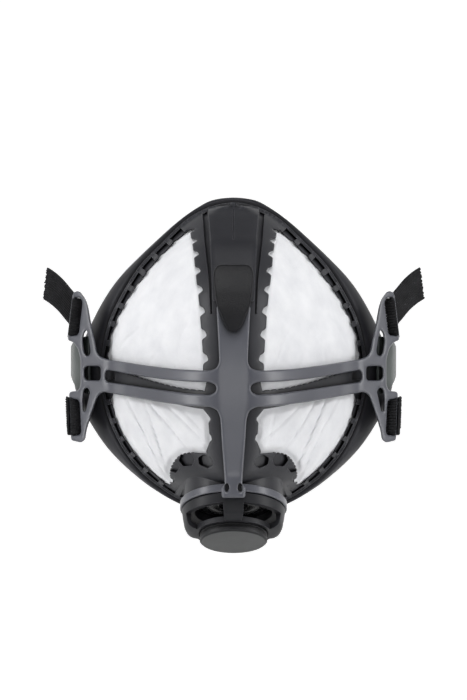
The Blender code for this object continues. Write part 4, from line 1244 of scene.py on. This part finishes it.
def make_strap(name, bar, width, tail, wrap, side):
    """A ribbed elastic loop round the bar and its tail, wider in the loop and frayed at its end."""
    start, end = bar_ends(bar, side)
    middle = (start + end) / 2
    up, out, back = bar_axes(start, end, side)
    path, wrapped = strap_path(tail, wrap)
    last = len(path) - 1
    bm = bmesh.new()
    bmesh.ops.create_grid(bm, x_segments=last, y_segments=STRAP_RIBS * RIB_POINTS, size=1.0)
    for vert in bm.verts:
        i = round((vert.co.x + 1) / 2 * last)
        x, y, rise = path[i]
        ahead, behind = path[min(i + 1, last)], path[max(i - 1, 0)]
        along = (out * (ahead[0] - behind[0]) + back * (ahead[1] - behind[1])).normalized()
        normal = along.cross(up).normalized()
        rib = abs(math.sin(math.pi * STRAP_RIBS * (vert.co.y + 1) / 2)) ** RIB_SHAPE
        rib *= 1.0 + RIB_UNEVEN * noise.noise(Vector((i * 0.9, vert.co.y * STRAP_RIBS, 3.0)))
        frayed = 0.0
        if i > last - FRAY_ROWS:
            frayed = FRAY_SLOW * noise.noise(Vector((vert.co.y * 3.0, 5.0, side)))
            frayed += FRAY_FAST * noise.noise(Vector((vert.co.y * 9.0, 1.0, side))) * (i == last)
        extra = LOOP_EXTRA * max(0.0, 1 - max(0, i - wrapped) / LOOP_TAPER)
        place = middle + out * x + back * y + up * (rise + vert.co.y * (width + extra) / 2)
        vert.co = (place + normal * RIB_HEIGHT * (rib - 0.5) + along * frayed) * MM
    bmesh.ops.recalc_face_normals(bm, faces=bm.faces)
    mesh = mesh_of(bm, name)
    strap = add_object(name + "_look", mesh)
    solidify(strap, STRAP_THICKNESS * 0.75, 0.0)
    settle(strap, 70.0)
    dress(strap, ELASTIC_LOOK, "elastic", name, body=name)


def make_straps():
    for side, word in ((-1, "left"), (1, "right")):
        make_strap(f"strap_upper_{word}", UPPER_BAR, UPPER_STRAP_WIDTH, UPPER_TAIL, UPPER_WRAP, side)
        make_strap(f"strap_lower_{word}", LOWER_BAR, LOWER_STRAP_WIDTH, LOWER_TAIL, LOWER_WRAP, side)


def make_valve():
    radius, low, high = SEAT
    seat = turned("valve_seat_look", ((0.0, high), (radius, high), (radius, low), (0.0, low)))
    for quarter in range(4):
        start = 90.0 * quarter + SPOKE_HALF_ANGLE
        end = 90.0 * (quarter + 1) - SPOKE_HALF_ANGLE
        reach = (SEAT_HUB, SEAT_OPENING, start, end, low - 2 * CUT_SPARE, high + 2 * CUT_SPARE)
        boolean(seat, sector_cutter(f"seat_opening_{quarter}", *reach), "DIFFERENCE")
    settle(seat)
    dress(seat, VALVE_LOOK, "valve_plastic", "valve_seat")
    flap = settle(turned("exhalation_diaphragm_look", DIAPHRAGM_PROFILE))
    dress(flap, FLAP_LOOK, "flap_rubber", "exhalation_diaphragm", body="diaphragm")
    cover = turned("valve_cover_look", COVER_PROFILE, closed=True)
    spans = (
        (FRONT_POST_ANGLE, 90.0 - SIDE_POST_ANGLE),
        (90.0 + SIDE_POST_ANGLE, 180.0 - FRONT_POST_ANGLE),
        (180.0 + FRONT_POST_ANGLE, 270.0 - SIDE_POST_ANGLE),
        (270.0 + SIDE_POST_ANGLE, 360.0 - FRONT_POST_ANGLE),
    )
    for number, (start, end) in enumerate(spans):
        reach = (COVER_WINDOW_INNER, RING_R + 2 * CUT_SPARE, start, end, COVER_WINDOW_START, COVER_WINDOW_END)
        boolean(cover, sector_cutter(f"cover_window_{number}", *reach), "DIFFERENCE")
    settle(cover)
    dress(cover, VALVE_LOOK, "valve_plastic", "valve_cover", body="valve_guard")
    cap = settle(turned("valve_cap_look", CAP_PROFILE))
    dress(cap, CAP_LOOK, "valve_plastic", "valve_cap", body="valve_guard")
    clear_tools()


make_mask_frame()
make_filters()
make_face_seal()
make_yoke()
make_wings()
make_grip_pad()
make_straps()
make_valve()

# Studio, in metres. The floor runs flat, bends up and ends as a wall.

FLOOR_HALF_WIDTH, FLOOR_LENGTH, FLOOR_FRONT, FLOOR_LEVEL = 4.0, 5.2, -1.4, -0.42
FLAT_RUN, BEND_RUN, BEND_R = 3.0, 1.2, 0.76
WALL_STRETCH = 2.2
GLOW_NEAR, GLOW_FAR, GLOW_MOST = 0.5, 1.7, 0.6
WORLD_FRONT, WORLD_SIDE = 0.10, 0.45
# Name, place, width, height and power of each light; all face the origin.
LIGHTS = (
    ("side_left", (-0.95, -0.25, 0.10), 0.22, 1.2, 5.2),
    ("side_right", (0.95, -0.25, 0.10), 0.22, 1.2, 4.9),
    ("front", (0.0, -1.5, 0.12), 0.9, 0.5, 3.1),
    ("top", (0.0, -0.7, 1.2), 0.9, 0.5, 9.0),
)
CAMERA_PLACE, CAMERA_LENS, CAMERA_SENSOR = (0.0, -0.8, 0.0027), 105.5, 36.0


def backdrop():
    """A pale floor that runs up into a wall behind, and glows more with distance."""
    bm = bmesh.new()
    bmesh.ops.create_grid(bm, x_segments=2, y_segments=40, size=1.0)
    for vert in bm.verts:
        run = (vert.co.y + 1) / 2 * FLOOR_LENGTH
        y, z = FLOOR_FRONT + run, 0.0
        if run >= FLAT_RUN:
            turn = min((run - FLAT_RUN) / BEND_RUN, 1.0) * math.pi / 2
            y = FLOOR_FRONT + FLAT_RUN + BEND_R * math.sin(turn)
            z = BEND_R * (1 - math.cos(turn)) + max(run - FLAT_RUN - BEND_RUN, 0.0) * WALL_STRETCH
        vert.co = Vector((vert.co.x * FLOOR_HALF_WIDTH, y, z + FLOOR_LEVEL))
    mesh = mesh_of(bm, "studio_floor")
    mesh.shade_smooth()
    floor = bpy.data.objects.new("studio_floor", mesh)
    bpy.context.scene.collection.objects.link(floor)
    made, nodes, links, shader = new_material("studio_floor")
    texture = noise_node(nodes, links, 1.5, 2.0)
    tint = mix_colour(nodes, links, texture.outputs["Fac"], (0.80, 0.80, 0.80), (0.84, 0.84, 0.84))
    links.new(tint, shader.inputs["Base Color"])
    place = nodes.new("ShaderNodeTexCoord")
    parts = nodes.new("ShaderNodeSeparateXYZ")
    links.new(place.outputs["Object"], parts.inputs["Vector"])
    glow = ramp(nodes, links, parts.outputs["Y"], 0.0, GLOW_MOST, GLOW_NEAR, GLOW_FAR)
    links.new(glow, shader.inputs["Emission Strength"])
    shader.inputs["Roughness"].default_value = 0.9
    shader.inputs["Emission Color"].default_value = (1.0, 1.0, 1.0, 1.0)
    floor.data.materials.append(made)


def area_light(name, place, width, height, power):
    light = bpy.data.lights.new(name, "AREA")
    light.shape = "RECTANGLE"
    light.size = width
    light.size_y = height
    light.energy = power
    obj = bpy.data.objects.new(name, light)
    obj.location = place
    obj.rotation_euler = (-Vector(place)).to_track_quat("-Z", "Y").to_euler()
    bpy.context.scene.collection.objects.link(obj)


def studio_world():
    """A white surround that is brighter at the two sides than behind the camera."""
    world = bpy.data.worlds.new("studio")
    world.use_nodes = True
    nodes, links = world.node_tree.nodes, world.node_tree.links
    direction = nodes.new("ShaderNodeTexCoord")
    parts = nodes.new("ShaderNodeSeparateXYZ")
    links.new(direction.outputs["Generated"], parts.inputs["Vector"])
    sideways = nodes.new("ShaderNodeMath")
    sideways.operation = "ABSOLUTE"
    links.new(parts.outputs["X"], sideways.inputs[0])
    strength = ramp(nodes, links, sideways.outputs["Value"], WORLD_FRONT, WORLD_SIDE, 0.35, 0.85)
    links.new(strength, nodes["Background"].inputs["Strength"])
    nodes["Background"].inputs["Color"].default_value = (1.0, 1.0, 1.0, 1.0)
    bpy.context.scene.world = world


backdrop()
for lamp in LIGHTS:
    area_light(*lamp)
studio_world()
bpy.context.scene.view_settings.view_transform = "Standard"

camera_data = bpy.data.cameras.new("camera")
camera_data.lens = CAMERA_LENS
camera_data.sensor_width = CAMERA_SENSOR
camera_data.clip_start = 0.01
camera_data.dof.use_dof = False
camera = bpy.data.objects.new("camera", camera_data)
camera.location = CAMERA_PLACE
camera.rotation_euler = (math.pi / 2, 0.0, 0.0)
bpy.context.scene.collection.objects.link(camera)
bpy.context.scene.camera = camera
